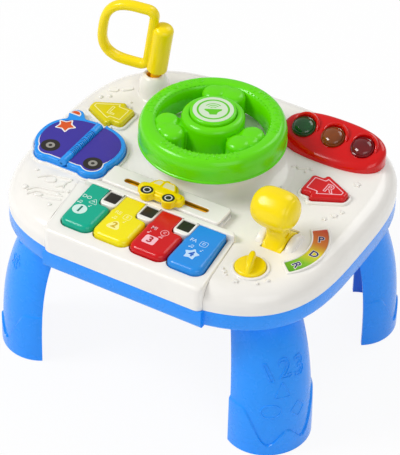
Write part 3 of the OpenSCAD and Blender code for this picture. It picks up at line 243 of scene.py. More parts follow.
def outline_of(inside, cx, cy, n=240, reach=90.0):
    """Outline round a centre, out to the last point that is inside"""
    out = []
    for t in full_turn(n):
        c, s = math.cos(t), math.sin(t)
        r = reach
        while not inside(cx + r * c, cy + r * s):
            r -= 0.5
        low, high = r, r + 0.5
        for _ in range(8):
            mid = (low + high) / 2
            low, high = (mid, high) if inside(cx + mid * c, cy + mid * s) else (low, mid)
        out.append((cx + low * c, cy + low * s))
    return out


def relaxed(points, rounds):
    """Closed outline with its kinks eased"""
    n = len(points)
    for _ in range(rounds):
        before, after = points[-1:] + points[:-1], points[1:] + points[:1]
        points = [
            tuple(0.25 * before[i][k] + 0.5 * points[i][k] + 0.25 * after[i][k] for k in (0, 1))
            for i in range(n)
        ]
    return points


def linked(obj):
    bpy.context.scene.collection.objects.link(obj)
    return obj


def from_object(obj):
    """Finished shape of a draft object, which is then removed"""
    linked(obj)
    bpy.context.view_layer.update()
    mesh = bpy.data.meshes.new_from_object(obj.evaluated_get(bpy.context.evaluated_depsgraph_get()))
    shape = [tuple(v.co / MM) for v in mesh.vertices], [list(p.vertices) for p in mesh.polygons]
    data = obj.data
    store = bpy.data.meshes if isinstance(data, bpy.types.Mesh) else bpy.data.curves
    bpy.data.objects.remove(obj)
    bpy.data.meshes.remove(mesh)
    store.remove(data)
    return shape


def mesh_of(name, shape):
    mesh = bpy.data.meshes.new(name)
    mesh.from_pydata([Vector(v) * MM for v in shape[0]], [], shape[1])
    work = bmesh.new()
    work.from_mesh(mesh)
    bmesh.ops.remove_doubles(work, verts=work.verts, dist=2e-6)
    bmesh.ops.dissolve_degenerate(work, edges=work.edges, dist=1e-7)
    bmesh.ops.recalc_face_normals(work, faces=work.faces)
    work.to_mesh(mesh)
    work.free()
    return mesh


def worked(shape, *modifiers):
    """The shape with modifiers applied, each a pair of kind and settings"""
    obj = bpy.data.objects.new("draft", mesh_of("draft", shape))
    for kind, settings in modifiers:
        modifier = obj.modifiers.new(kind, kind)
        for key, value in settings.items():
            setattr(modifier, key, value)
    return from_object(obj)


def remeshed(shape, size, factor, rounds):
    """The shape in small even faces, smoothed"""
    remesh = ("REMESH", {"mode": "VOXEL", "voxel_size": size * MM})
    return worked(shape, remesh, ("SMOOTH", {"factor": factor, "iterations": rounds}))


def carved(shape, *cutters):
    for cutter in cutters:
        tool = linked(bpy.data.objects.new("tool", mesh_of("tool", cutter)))
        shape = worked(shape, ("BOOLEAN", {"operation": "DIFFERENCE", "solver": "EXACT", "object": tool}))
        mesh = tool.data
        bpy.data.objects.remove(tool)
        bpy.data.meshes.remove(mesh)
    return shape


def signed_area(points):
    return sum(a[0] * b[1] - b[0] * a[1] for a, b in zip(points, points[1:] + points[:1])) / 2


def slab(loops, low, high, edge=0.0, steps=3):
    """Solid over flat outlines, the inner ones holes; edge rounds its top and may depend on the place"""
    walls, ends = [], []
    edges = edge if isinstance(edge, list) else [edge] * len(loops)
    turns = quarter(steps) if any(edges) else [0]
    for loop, e in zip(loops, edges):
        loop = [p for k, p in enumerate(loop) if math.dist(p, loop[k - 1]) > 1e-3]
        if (signed_area(loop) > 0) != (not ends):
            loop.reverse()
        es = [e(*p) if callable(e) else e for p in loop]
        rings = []
        for t in turns:
            under = [min(v, 0.4) for v in es]
            flat = mitre(loop, [-u * (1 - math.sin(t)) for u in under])
            rings.append([(x, y, low + u * (1 - math.cos(t))) for (x, y), u in zip(flat, under)])
        for t in turns:
            flat = mitre(loop, [-v * (1 - math.cos(t)) for v in es])
            rings.append([(x, y, high - v * (1 - math.sin(t))) for (x, y), v in zip(flat, es)])
        walls.append(stack(rings, False, False))
        ends.append((rings[0], rings[-1]))
    for k in (0, 1):
        outlines = [pair[k] for pair in ends]
        fill = tessellate_polygon([[Vector(p) for p in outline] for outline in outlines])
        walls.append(([p for outline in outlines for p in outline], [list(t) for t in fill]))
    return join(*walls)


def tube(points, radius, closed=False, steps=4):
    """Round bar along points"""
    curve = bpy.data.curves.new("draft", "CURVE")
    curve.dimensions, curve.use_fill_caps = "3D", True
    spline = curve.splines.new("POLY")
    spline.points.add(len(points) - 1)
    for point, co in zip(spline.points, points):
        point.co = (co[0] * MM, co[1] * MM, co[2] * MM, 1)
    spline.use_cyclic_u = closed
    curve.bevel_depth, curve.bevel_resolution = radius * MM, steps
    return from_object(bpy.data.objects.new("draft", curve))


def line(points, width, high, z, closed=True):
    """Raised line on a flat face at height z"""
    bar = tube([(x, y, 0) for x, y in points], width / 2, closed, 2)
    return bent(bar, lambda x, y, h: (x, y, z + h * 2 * high / width))


def text(words, size, bold=0.0, high=0.12, outline=0.0):
    """Lettering centred on the origin, solid or as an outline"""
    curve = bpy.data.curves.new("draft", "FONT")
    curve.body, curve.size, curve.offset = words, size * MM, bold * MM
    curve.align_x, curve.align_y, curve.resolution_u = "CENTER", "CENTER", 4
    if outline:
        curve.fill_mode, curve.bevel_depth, curve.bevel_resolution = "NONE", outline * MM, 1
    else:
        curve.extrude = high * MM
    shape = from_object(bpy.data.objects.new("draft", curve))
    if outline:
        return bent(shape, lambda x, y, h: (x, y, h * high / outline))
    return shape


def piece(name, shape, material, body="table", nodes=()):
    """Adds a finished piece to the scene"""
    mesh = mesh_of(name, shape)
    mesh.polygons.foreach_set("use_smooth", [True] * len(mesh.polygons))
    mesh.set_sharp_from_angle(angle=math.radians(38))
    mesh.materials.append(material)
    obj = linked(bpy.data.objects.new(name, mesh))
    obj.modifiers.new("flat_faces", "WEIGHTED_NORMAL").keep_sharp = True
    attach(obj, body)
    if nodes:
        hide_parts(*nodes)


# ---- materials ----


def linear(rgb):
    return [((c / 255 + 0.055) / 1.055) ** 2.4 if c > 10 else c / 255 / 12.92 for c in rgb] + [1.0]


def feed(tree, node, **inputs):
    """Sets a node's inputs to values or to other nodes' outputs; _ in a name stands for a space"""
    for name, value in inputs.items():
        socket = node.inputs[name.replace("_", " ")]
        if isinstance(value, bpy.types.NodeSocket):
            tree.links.new(value, socket)
        else:
            socket.default_value = value


def add(tree, kind, **inputs):
    node = tree.nodes.new(kind)
    feed(tree, node, **inputs)
    return node


def new_material(name):
    material = bpy.data.materials.new(name)
    material.use_nodes = True
    return material, material.node_tree


def mixed(tree, low, high, factor):
    ramp = add(tree, "ShaderNodeValToRGB", Fac=factor)
    for element, colour, at in zip(ramp.color_ramp.elements, (low, high), (0.3, 0.7)):
        element.color, element.position = colour, at
    return ramp.outputs["Color"]


def noise(tree, coords, scale, detail=3.0):
    return add(tree, "ShaderNodeTexNoise", Scale=scale, Detail=detail, Vector=coords).outputs["Fac"]


def plastic(name, rgb, rough=0.4, coat=0.0, tint=0.015, grain=0.15, deep=None):
    """Moulded plastic: faint clouds in the colour, satin patches and a fine skin"""
    material, tree = new_material(name)
    coords = add(tree, "ShaderNodeTexCoord").outputs["Object"]
    base = linear(rgb)
    shade = linear(deep) if deep else [c * (1 - 2 * tint) for c in base[:3]] + [1.0]
    satin = add(tree, "ShaderNodeMapRange", To_Min=rough * 0.8, To_Max=rough * 1.25,
                Value=noise(tree, coords, 90))
    skin = add(tree, "ShaderNodeBump", Strength=grain, Distance=0.00012, Height=noise(tree, coords, 700, 2))
    feed(
        tree,
        tree.nodes["Principled BSDF"],
        Base_Color=mixed(tree, shade, base, noise(tree, coords, 28, 4)),
        Roughness=satin.outputs["Result"],
        Normal=skin.outputs["Normal"],
        Coat_Weight=coat,
        Coat_Roughness=0.05,
        IOR=1.49,
        Specular_IOR_Level=0.36,
    )
    return material


def metal(name, rgb, rough=0.3):
    material = plastic(name, rgb, rough, 0.0, 0.05, 0.4)
    feed(material.node_tree, material.node_tree.nodes["Principled BSDF"], Metallic=1.0)
    return material


def clear_plastic(name, rgb, deep):
    material = plastic(name, rgb, 0.07, 0.6, 0.08, 0.1, deep)
    feed(material.node_tree, material.node_tree.nodes["Principled BSDF"], Transmission_Weight=0.25)
    return material


def scale_print(name):
    """Colours of the lever's scale, from green at its front to red at its back"""
    material = plastic(name, (220, 200, 40), 0.3, 0.2)
    tree = material.node_tree
    place = add(tree, "ShaderNodeSeparateXYZ", Vector=add(tree, "ShaderNodeTexCoord").outputs["Object"])
    span = add(tree, "ShaderNodeMapRange", From_Min=-0.093, From_Max=-0.015, Value=place.outputs["Y"])
    ramp = add(tree, "ShaderNodeValToRGB", Fac=span.outputs["Result"])
    stops = [(0.0, (60, 150, 30)), (0.28, (130, 185, 30)), (0.5, (235, 215, 40)), (0.68, (225, 130, 35)),
             (1.0, (190, 40, 30))]
    elements = ramp.color_ramp.elements
    elements.remove(elements[1])
    for i, (at, rgb) in enumerate(stops):
        element = elements[0] if i == 0 else elements.new(at)
        element.position, element.color = at, linear(rgb)
    feed(tree, tree.nodes["Principled BSDF"], Base_Color=ramp.outputs["Color"])
    return material


WHITE = plastic("white_shell", (242, 239, 233), 0.18, 0.25, 0.02)
BLUE = plastic("blue_shell", (22, 148, 255), 0.26, 0.08)
GREEN = plastic("green_plastic", (100, 218, 0), 0.22, 0.08)
YELLOW = plastic("yellow_plastic", (250, 222, 0), 0.24, 0.1)
RED = plastic("red_plastic", (212, 4, 6), 0.16, 0.25)
TEAL = plastic("teal_key_plastic", (0, 168, 138), 0.22, 0.08)
KEY_YELLOW = plastic("yellow_key_plastic", (242, 226, 0), 0.22, 0.1)
KEY_RED = plastic("red_key_plastic", (206, 6, 16), 0.22, 0.1)
KEY_BLUE = plastic("blue_key_plastic", (36, 140, 226), 0.22, 0.08)
OLIVE = plastic("left_arrow_plastic", (224, 208, 2), 0.22, 0.1)
ARROW_RED = plastic("right_arrow_plastic", (210, 8, 12), 0.2, 0.15)
BOOK_BLUE = plastic("book_blue_plastic", (30, 148, 240), 0.24, 0.1)
STICKER = plastic("book_sticker", (58, 46, 156), 0.3, 0.1)
ORANGE = plastic("orange_print", (218, 84, 24), 0.35, 0.1)
PRINT = plastic("white_print", (240, 236, 232), 0.45, 0.0, 0.03)
TEAL_PRINT = plastic("pale_teal_print", (206, 232, 226), 0.45)
YELLOW_PRINT = plastic("pale_yellow_print", (248, 240, 150), 0.45)
RED_PRINT = plastic("pale_pink_print", (244, 190, 200), 0.45)
BLUE_PRINT = plastic("pale_blue_print", (188, 218, 248), 0.45)
OLIVE_PRINT = plastic("pale_olive_print", (246, 240, 160), 0.45)
# Navy for the scale's letters, which is print, and for the rod in the spine's grooves, which is painted shade
NAVY_PRINT_AND_SHADE = plastic("navy_print_and_painted_shade", (34, 38, 112))
GREEN_PRINT = plastic("green_print", (96, 200, 20), 0.35)
LABEL = plastic("label_print", (208, 226, 198))
SCALE = scale_print("scale_print")
CREAM = plastic("window_print", (240, 230, 190), 0.35, 0.1)
BLACK = plastic("black_plastic", (36, 31, 28), 0.34, 0.1)
DARK = plastic("dark_plastic", (28, 27, 28), 0.45)
GREY = plastic("grey_print", (150, 146, 140))
OCHRE = plastic("ochre_plastic", (196, 150, 12))
# Bright orange-yellow for shaded hollows: painted light and shade, standing in for yellow and ochre plastic
# seen down in the key's hole and the car's slot
HOLLOW_LIGHT_AND_SHADE = plastic("hollow_painted_light_and_shade", (255, 190, 20), 0.35)
TEAL_DEEP = plastic("teal_deep_print", (8, 112, 96))
YELLOW_DEEP = plastic("yellow_deep_print", (206, 170, 6))
RED_DEEP = plastic("red_deep_print", (176, 8, 18))
BLUE_DEEP = plastic("blue_deep_print", (34, 96, 196))
LENS_GREEN = clear_plastic("lens_green", (18, 92, 36), (8, 50, 18))
LENS_AMBER = clear_plastic("lens_amber", (156, 74, 0), (104, 46, 0))
LENS_RED = clear_plastic("lens_red", (150, 0, 14), (92, 0, 8))
STEEL = metal("steel", (190, 190, 194))
BOARD = plastic("board", (30, 104, 58), 0.4, 0.1)
SILICONE = plastic("silicone", (216, 216, 210), 0.6)
CELL = plastic("cell_wrap", (58, 122, 74), 0.3, 0.2)


# ---- carried-over nodes ----


def soft_shading():
    """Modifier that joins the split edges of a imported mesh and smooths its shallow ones"""
    tree = bpy.data.node_groups.new("soft_shading", "GeometryNodeTree")
    for way in ("INPUT", "OUTPUT"):
        tree.interface.new_socket(name="Geometry", in_out=way, socket_type="NodeSocketGeometry")
    packed = add(tree, "NodeGroupInput").outputs[0]
    weld = add(tree, "GeometryNodeMergeByDistance", Geometry=packed, Distance=1e-6)
    faces = add(tree, "GeometryNodeSetShadeSmooth", Geometry=weld.outputs["Geometry"])
    faces.domain = "FACE"
    edges = add(tree, "GeometryNodeSetShadeSmooth", Geometry=faces.outputs["Geometry"])
    edges.domain = "EDGE"
    shallow = add(tree, "FunctionNodeCompare")
    shallow.data_type, shallow.operation = "FLOAT", "LESS_THAN"
    shallow.inputs[1].default_value = math.radians(32)
    angle = add(tree, "GeometryNodeInputMeshEdgeAngle")
    tree.links.new(angle.outputs["Unsigned Angle"], shallow.inputs[0])
    tree.links.new(shallow.outputs["Result"], edges.inputs["Shade Smooth"])
    tree.links.new(edges.outputs["Geometry"], add(tree, "NodeGroupOutput").inputs[0])
    return tree


SOFT_SHADING = soft_shading()


def dress(material, *nodes):
    for name in nodes:
        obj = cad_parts[name]
        for slot in obj.material_slots:
            slot.material = material
        obj.modifiers.new("soft_shading", "NODES").node_group = SOFT_SHADING


dress(WHITE, "steering_shaft", "slider_shoe", "dial_clip", "key_cup")
dress(BLUE, "bottom_shell", "battery_door")
dress(BLACK, "black_keys")
dress(DARK, "speaker", "power_switch")
# The ochre track is dressed in the brighter orange-yellow so that it looks lit down in its shaded slot:
# painted light
dress(HOLLOW_LIGHT_AND_SHADE, "slider_track")
dress(STEEL, "shaft_screw", "key_rod", "lever_pin", "book_pin", "battery_contacts", "battery_screw",
      "case_screws", "board_screws")
dress(BOARD, "main_board", "arrow_boards", "lamp_board")
dress(SILICONE, "main_board_domes", "arrow_board_domes")
dress(PRINT, "lamp_leds")
dress(CELL, "batteries")


# ---- outlines that pieces share ----


def arrow_outline(grow=0.0):
    """Arrow that points to +X"""
    half, head, shank, wing, tip = 22.5, -10.0, 14.2, 21.5, 5.0
    corners = [(-half, -shank), (head, -shank), (head, -wing), (half, -tip), (half, tip), (head, wing),
               (head, shank), (-half, shank)]
    back, point = max(4.2 + grow, 1.0), max(4.6 + grow, 1.0)
    notch, side = min(max(2 - 0.22 * grow, 0.8), 2.4), max(3.2 + 0.5 * grow, 0.8)
    return fillet(mitre(corners, grow), [back, notch, side, point, point, side, notch, back])


def left_arrow(shape):
    return bent(shape, lambda x, y, z: (LEFT_ARROW[0] - x, LEFT_ARROW[1] + y, z))


def right_arrow(shape):
    return moved(shape, shift(*RIGHT_ARROW))


def in_circle(x, y, cx, cy, r):
    return (x - cx) ** 2 + (y - cy) ** 2 <= r * r


def book_outline(grow=0.0, rounds=2, siren=True):
    """Side view of a round car"""

    def inside(x, y):
        body = abs((x + 2.6) / (47.2 + grow)) ** 2.3 + abs((y - 2) / (39 + grow)) ** 2.3 <= 1
        return (
            (body and y > -35.1 - grow)
            or in_circle(x, y, -25, -21, 15.5 + grow)
            or in_circle(x, y, 27, -22.5, 15.5 + grow)
            or (siren and in_circle(x, y, -31.8, 40.5, 9.2 + grow))
        )

    return relaxed(outline_of(inside, 0, -3, 360), rounds)


def book_face(lower):
    """Outline of the printed faces; lower is its inset along the lower edge"""
    out = []
    for a, b in zip(book_outline(-lower, 3, False), book_outline(-5.0, 3, False)):
        share = min(max((-6 - b[1]) / 12, 0), 1)
        out.append((a[0] * share + b[0] * (1 - share), a[1] * share + b[1] * (1 - share)))
    return out


def placed(points, x, y):
    return [(p[0] + x, p[1] + y) for p in points]


def book_corner():
    """Arc of the book's rim that cuts the housing's back left corner"""
    return arc(-93.7, -60, 19.5, -104, -39, 10)


def house_outline(grow=0.0):
    left_front, right_front = (-89 - grow, -161), (91 + grow, -161)
    right_side = [(81.4 + grow, -88)]
    corner = arc(67, -86, 14 + grow, 5, 85, 10)
    points = [left_front, right_front] + right_side + corner + book_corner()[::-1]
    radii = [9 + grow, 9 + grow] + [0.5] * (len(points) - 2)
    return soft(points, radii, 8)


def bar_outline(grow=0.0):
    return soft(mitre([(-76, -74), (59, -74), (59, -46), (-76, -46)], grow), 4 + grow, 5)


# ---- cover ----


def cover_form(inset):
    """Solid of the deck's cover, drawn in by inset"""
    half_x, half_y = 180 - inset, 161 - inset
    rings = [ring(superellipse(half_x, half_y, 3.3, 240), PARTING - min(inset, 1))]
    for draw, rise in bulge(20, 18.5 - inset, 12):
        rings.append(ring(superellipse(half_x - draw, half_y - draw, 3.3, 240), 185.5 + rise))
    return stack(rings)


def pedestal():
    profile = [(0, -2), (85, -2), (85, 0)]
    for i in range(1, 17):
        s = i / 16
        profile.append((61.2 + 22.6 * (1 - s) ** 2.6, 23.5 * s ** 1.35))
    profile += [(60.6, 24.4), (59.2, 25.2), (57, 25.5), (0, 25.5)]
    return moved(lathe(profile, 128), shift(*WHEEL, DECK))


def lever_cheeks():
    """Half-round cheeks beside the lever's gate"""
    round_edge = arc(15.5, -1.1, 3.5, -90, 0, 8)
    profile = [(0, -4.6)] + round_edge + [(r, -z) for r, z in round_edge[::-1]] + [(0, 4.6)]
    disc = moved(lathe(profile, 64), turn(90, "Y"))
    return join(*[moved(disc, shift(LEVER[0] + x, LEVER[1], 193)) for x in (-16.3, 16.3)])


def deck_reliefs():
    """Raised dots, stars, loops and strokes on the deck"""
    low = DECK - 0.6
    parts = []
    for x, y, r in [(-144, -85.2, 1.7), (-105.9, -81.3, 1.3), (-97.6, -84.5, 1.6), (-139.8, -113.9, 3.0),
                    (-103.4, -125.5, 2.3), (-156.1, 52.8, 2.6), (-148.6, 59.0, 2.4), (78.4, 18.6, 1.8),
                    (91, -119.9, 1.5), (98.1, -126.7, 1.8), (129.7, -121.9, 1.6), (136.4, -112.9, 1.9),
                    (89.9, 60.3, 2.2), (86.6, 53.6, 1.6), (-104.6, -108.2, 2.6), (-124, 61, 1.4),
                    (70, -27, 1.6)]:
        profile = [(0, -0.5), (r, -0.5), (r, 0.2), (r * 0.86, 1.17), (r * 0.5, 1.8), (0, 1.8)]
        parts.append(moved(lathe(profile, 20), shift(x, y, DECK)))
    for x, y, r, spin in [(-99.0, -98.6, 3.4, 10), (138.3, -2.8, 3.2, 20), (144.6, 6.3, 4.2, 50),
                          (148.5, 15.3, 3.0, 5), (140.8, 62.1, 4.4, 30), (94.6, -123.3, 3.0, 0),
                          (110.9, -129.9, 3.2, 40)]:
        parts.append(slab([star_outline(x, y, r, 0.5, spin, 0.9, 3)], low, DECK + 1.6, 0.7, 3))
    for x, y, a, b, spin in [(-123.5, -92, 5.6, 4.4, 0.5), (-111.5, -93.5, 6.2, 3.4, 0.95),
                             (-121.4, -118.0, 4.2, 2.6, 0.3), (-151.7, 70.5, 5.8, 3.6, 0.3),
                             (-139.7, 79.5, 6.4, 3.4, 0.8)]:
        c, s = math.cos(spin), math.sin(spin)
        loop = [(x + u * c - v * s, y + u * s + v * c) for u, v in superellipse(a, b, 2.8, 32)]
        parts.append(slab([loop], low, DECK + 1.8, 1.1, 4))
    for width, points in [(2.16, [(-137.2, -95), (-128, -86.5), (-117, -83), (-106.8, -80.5)]),
                          (1.92, [(-105.5, -84), (-108, -90), (-106, -97)]),
                          (2.64, [(-136, -117), (-128, -108.5), (-116, -105.5), (-102.8, -101.8)]),
                          (1.92, [(-132, -122), (-123, -113.5), (-110, -111), (-99.5, -108)]),
                          (2.88, [(-115.9, -119), (-108, -117.5), (-97.8, -113.4)]),
                          (2.64, [(71, 53.5), (74.5, 56.5), (78, 55), (81, 56.5), (85.2, 60.0)])]:
        parts.append(line(catmull(points), width, 1.6, DECK, False))
    return join(*parts)


def catmull(points, steps=8):
    """Smooth open line through flat points"""
    pts = [Vector(p) for p in points]
    pts = [2 * pts[0] - pts[1]] + pts + [2 * pts[-1] - pts[-2]]
    out = []
    for i in range(1, len(pts) - 2):
        a, b, c, d = pts[i - 1:i + 3]
        for k in range(steps):
            t = k / steps
            out.append(tuple(0.5 * (2 * b + (c - a) * t + (2 * a - 5 * b + 4 * c - d) * t * t
                                    + (3 * b - a - 3 * c + d) * t ** 3)))
    out.append(tuple(pts[-2]))
    return out


def scale_border():
    """Raised border round the lever's scale"""
    outer = sector(40.0, 59.5, -45.6, 44.6)
    inner = sector(42.3, 57.2, -42.2, 41.2)
    return slab([soft(outer, 3, 4), soft(inner, 1.2, 4)], DECK - 0.8, DECK + 1.5, 1.1, 4)


def sector(r0, r1, start, end):
    return arc(*SCALE_AT, r1, start, end, 24) + arc(*SCALE_AT, r0, end, start, 24)


def scale_plate():
    return slab([soft(sector(42.1, 57.4, -42.4, 41.4), 1.4, 4)], DECK - 0.6, SCALE_TOP, 0.2)


def through(outline):
    """Cutter through the cover"""
    return slab([outline], 150, 240)


def top_shell():
    gate = soft(rect(104.2, -72, 127.2, -32), 1.0, 3)
    openings = [through(outline) for outline in (house_outline(GAP), bar_outline(GAP), gate)]
    openings += [place(through(arrow_outline(GAP))) for place in (left_arrow, right_arrow)]
    shell = carved(cover_form(0), cover_form(2.5), *openings)
    cheeks = carved(lever_cheeks(), slab([rect(-200, -200, 200, 200)], 101, 201))
    rims = [place(slab([arrow_outline(3.6), arrow_outline(GAP)], DECK - 2, DECK + 3, edge))
            for place, edge in ((left_arrow, 1.4), (right_arrow, 1.6))]
    rims.append(moved(slab([book_outline(2.6), book_outline(GAP)], DECK - 1, DECK + 2, 0.9), shift(*BOOK)))
    rims.append(moved(slab([circle(0, 0, 19), circle(0, 0, 15.8)], DECK - 1, DECK + 2, 1.1), shift(*DIAL)))
    return join(shell, pedestal(), cheeks, scale_border(), deck_reliefs(), *rims)


# ---- keyboard ----


def key_drift(y):
    """How far the last key's right side draws in between its front and y"""
    return KEY_TAPER * (y - KEY_FRONT)


def key_left(i):
    return -85 + 41.7 * i


def black_x(i):
    return key_left(i) + 35.0


def key_front(i, grow=0.0):
    """Rounded front of a piano key; grown ones stop where they meet"""
    r = 10.0
    x0 = FIRST_KEY if i == 0 else key_left(i)
    lean = math.atan(KEY_TAPER) if i == 3 else 0
    x1 = key_left(i) + KEY_WIDTH - r * (1 + math.sin(lean)) / math.cos(lean)
    meet = math.degrees(math.acos(min((r + 0.5) / (r + grow), 1)))
    left = arc(x0 + r, KEY_FRONT + r, r + grow, 180 + (meet if i > 0 else 0), 270, 10)
    return left + arc(x1, KEY_FRONT + r, r + grow, -90, math.degrees(lean) if i == 3 else -meet, 10)


def key_outline(i):
    """One piano key from above, anticlockwise from its front left corner"""
    x1 = key_left(i) + KEY_WIDTH
    step, back, cut = -106.0, -82.4, 9.7
    tail_left = FIRST_KEY if i == 0 else black_x(i - 1) + cut
    tail_right = x1 - key_drift(-82.3) if i == 3 else black_x(i) - cut
    points = key_front(i)
    radii = [0] * len(points)
    if i < 3:
        points += [(x1, step - 1.5), (x1 - 4, step), (tail_right + 3, step), (tail_right, step + 3)]
        radii += [6, 3, 3, 3]
    points += [(tail_right, back), (tail_left, back)]
    radii += [2, 2]
    if i > 0:
        points += [(tail_left, step + 2), (key_left(i), step - 1.5)]
        radii += [3, 6]
    return soft(points, radii, 6)


def piano_key(i):
    return slab([key_outline(i)], KEY_TOP - 12, KEY_TOP, key_edge, 6)


def frame_outline(i, grow=0.0):
    x, half = black_x(i), 9.2
    corners = [(x - half, -81), (x - half, -101.5), (x - half + 3.5, -105), (x + half - 3.5, -105),
               (x + half, -101.5), (x + half, -81)]
    return soft(mitre(corners, grow), [0.5, 3, 3, 3, 3, 0.5], 4)


def pad_outline(i, grow=0.0):
    x = black_x(i)
    return soft(rect(x - 6.8 - grow, -99.5 - grow, x + 6.8 + grow, -84.5 + grow), 1.2, 3)


def key_edge(_, y):
    """Rounding of a key's top edge, widest at its front"""
    return 5.4 if y < -112 else max(1.2, 5.4 - 0.5 * (y + 112))


def house_edge(_, y):
    """Rounding of the housing's top edge, widest at its front"""
    return min(3.8, max(0.6, 3.8 - 0.2 * (y + 105)))


def slot_outline(grow=0.0):
    return arc(-51.8, -62, 3.4 + grow, 90, 270, 10) + arc(37.8, -62, 3.4 + grow, -90, 90, 10)


def keyboard_housing():
    well = [(-81.2, -82)] + [p for i in range(4) for p in key_front(i, 0.9)] + [(74.9, -82)]
    wall = [(-90, -81.6), (80.6, -81.6), (80.6, -80), (77, -73.5), (70, -72.2), (-78, -72.2), (-86, -77.5)]
    ridge = [(-88, -82), (81, -82), (81, -80), (78, -76), (74, -75.4), (-80, -76), (-88, -78.5)]
    frames = [slab([frame_outline(i), pad_outline(i, GAP)], 190, KEY_TOP + 0.5, [1.6, 0.5], 4)
              for i in range(3)]
    return join(
        slab([house_outline(), well], PARTING, DECK + 1.5, [house_edge, 0.8], 6),
        slab([mitre(house_outline(), -2)], 187, 191),
        slab([wall], 190, DECK + 5, 0.4),
        slab([ridge], DECK, KEY_TOP + 0.5, 1.2, 4),
        slab([bar_outline(), slot_outline()], BAR_TOP - 2.5, BAR_TOP, [2.0, 0.6], 4),
        slab([bar_outline(), bar_outline(-2.4)], 192, BAR_TOP - 2.1),
        slab([bar_outline(-0.4), rect(-72, -70, 55, -50)], PARTING + 2, 196),
        *frames,
    )


def slot_lining():
    """Coloured inside of the car's slot, with a fence below each side"""
    lining = slab([slot_outline(1.4), slot_outline(-0.25)], BAR_TOP - 2.45, BAR_TOP - 0.7)
    fences = [slab([rect(-59, y - 0.5, 45, y + 0.5)], 200, BAR_TOP - 2.4) for y in (-68.3, -55.7)]
    return join(lining, *fences)


def spoked(x, y, radii, spin):
    """Points at even angles round a centre, one radius for each"""
    turns = [math.radians(spin + 360 * i / len(radii)) for i in range(len(radii))]
    return [(x + r * math.cos(t), y + r * math.sin(t)) for r, t in zip(radii, turns)]


def star_outline(x, y, r, inner, spin=90.0, soften=1.0, steps=4):
    return soft(spoked(x, y, [r, r * inner] * 5, spin), soften, steps)


def polygon(x, y, r, sides, spin, soften):
    return soft(spoked(x, y, [r] * sides, spin), soften, 5)


def boxed(x, y, half_x, half_y, r):
    return soft(rect(x - half_x, y - half_y, x + half_x, y + half_y), r, 4)


def note(x, y, size, pair):
    """Small music note, or a pair with a beam"""
    stem, step = 0.27 * size, 0.8 * size
    parts = []
    for at in (x, x + step) if pair else (x,):
        head = placed(superellipse(0.32 * size, 0.24 * size, 2, 16), at, y)
        parts.append(slab([head], KEY_TOP - 0.1, KEY_TOP + 0.1))
        parts.append(line([(at + stem, y), (at + stem, y + size)], 0.42, 0.1, KEY_TOP, False))
    start, end = (x + stem, y + size), (x + stem + 0.4 * size, y + 0.62 * size)
    if pair:
        end = (x + step + stem, y + size)
    parts.append(line([start, end], 0.7 if pair else 0.5, 0.1, KEY_TOP, False))
    return join(*parts)


def key_prints(i):
    """Note name, boxed letter, two notes and the badge under the key's number"""
    z = KEY_TOP
    bx, by = BADGES[i]
    name, nx, ny = [("DO", -72.9, -103.6), ("RE", -33.6, -108.6), ("MI", 8.7, -110.4),
                    ("FA", 50.4, -106.4)][i]
    letter, x, y = [("A", -63.0, -106.8), ("B", -22.2, -110.4), ("C", 21.2, -111.8),
                    ("D", 62.2, -106.8)][i]
    badges = [circle(bx, by, 7.4, 48), polygon(bx, by - 0.8, 10.4, 3, 90, 7), boxed(bx, by, 6.8, 6.2, 2.4),
              star_outline(bx, by, 8.6, 0.6, 90, 1.4)]
    borders = [polygon(x, y - 0.6, 5.4, 3, 90, 1.6), boxed(x, y, 3.8, 3.6, 2), polygon(x, y, 4.6, 6, 0, 1.8),
               boxed(x, y, 3.8, 3.6, 2)]
    return join(
        slab([badges[i]], z - 0.2, z + 0.08),
        moved(text(name, 6.4, 0.05), shift(nx, ny, z)),
        moved(text(letter, 4.6, 0.05), shift(x, y, z)),
        line(borders[i], 0.55, 0.1, z),
        note(bx - 7.5, by + 9.0, 3.2, i != 2),
        note(bx + 5.5, by + 8.2, 2.8, i == 2),
    )


def key_number(i):
    size = [12.5, 11.0, 12.0, 10.0][i]
    return moved(text(str(i + 1), size, 0.4, 0.16), shift(*BADGES[i], KEY_TOP))


# ---- steering wheel ----


def rim_height(s):
    """Height of the rim's crown over its shoulder, s from -1 inside to 1 outside"""
    return 14.2 * max(1 - abs(s) ** 3, 0) ** 0.5


def rim():
    outer = [(75.0, 0), (75.0, 1.8), (74.3, 2.4), (74.3, 4.0), (74.6, 7.0)]
    crown = [(rim_radius(s), SHOULDER + rim_height(s)) for s, _ in arc(0, 0, 1, 0, 180, 36)]
    inner = [(53.9, 5.0), (53.7, 0.6), (54.0, 0)]
    hollow = [(57.0, 0), (57.0, 9), (60, 17), (64.3, 21), (69, 17), (71.6, 9), (71.6, 0)]
    return moved(lathe(outer + crown + inner + hollow, 192, True), shift(*WHEEL, RIM_LOW))


def rim_radius(s):
    return 64.35 + 10.3 * s


def on_rim(angle, s, out=0.0):
    """Point on the rim's crown at an angle in degrees, s from -1 inside to 1 outside"""
    a = math.radians(angle)
    r = rim_radius(s) + out * s
    z = RIM_LOW + SHOULDER + rim_height(s) + out * (1 - s * s)
    return (WHEEL[0] + r * math.cos(a), WHEEL[1] + r * math.sin(a), z)


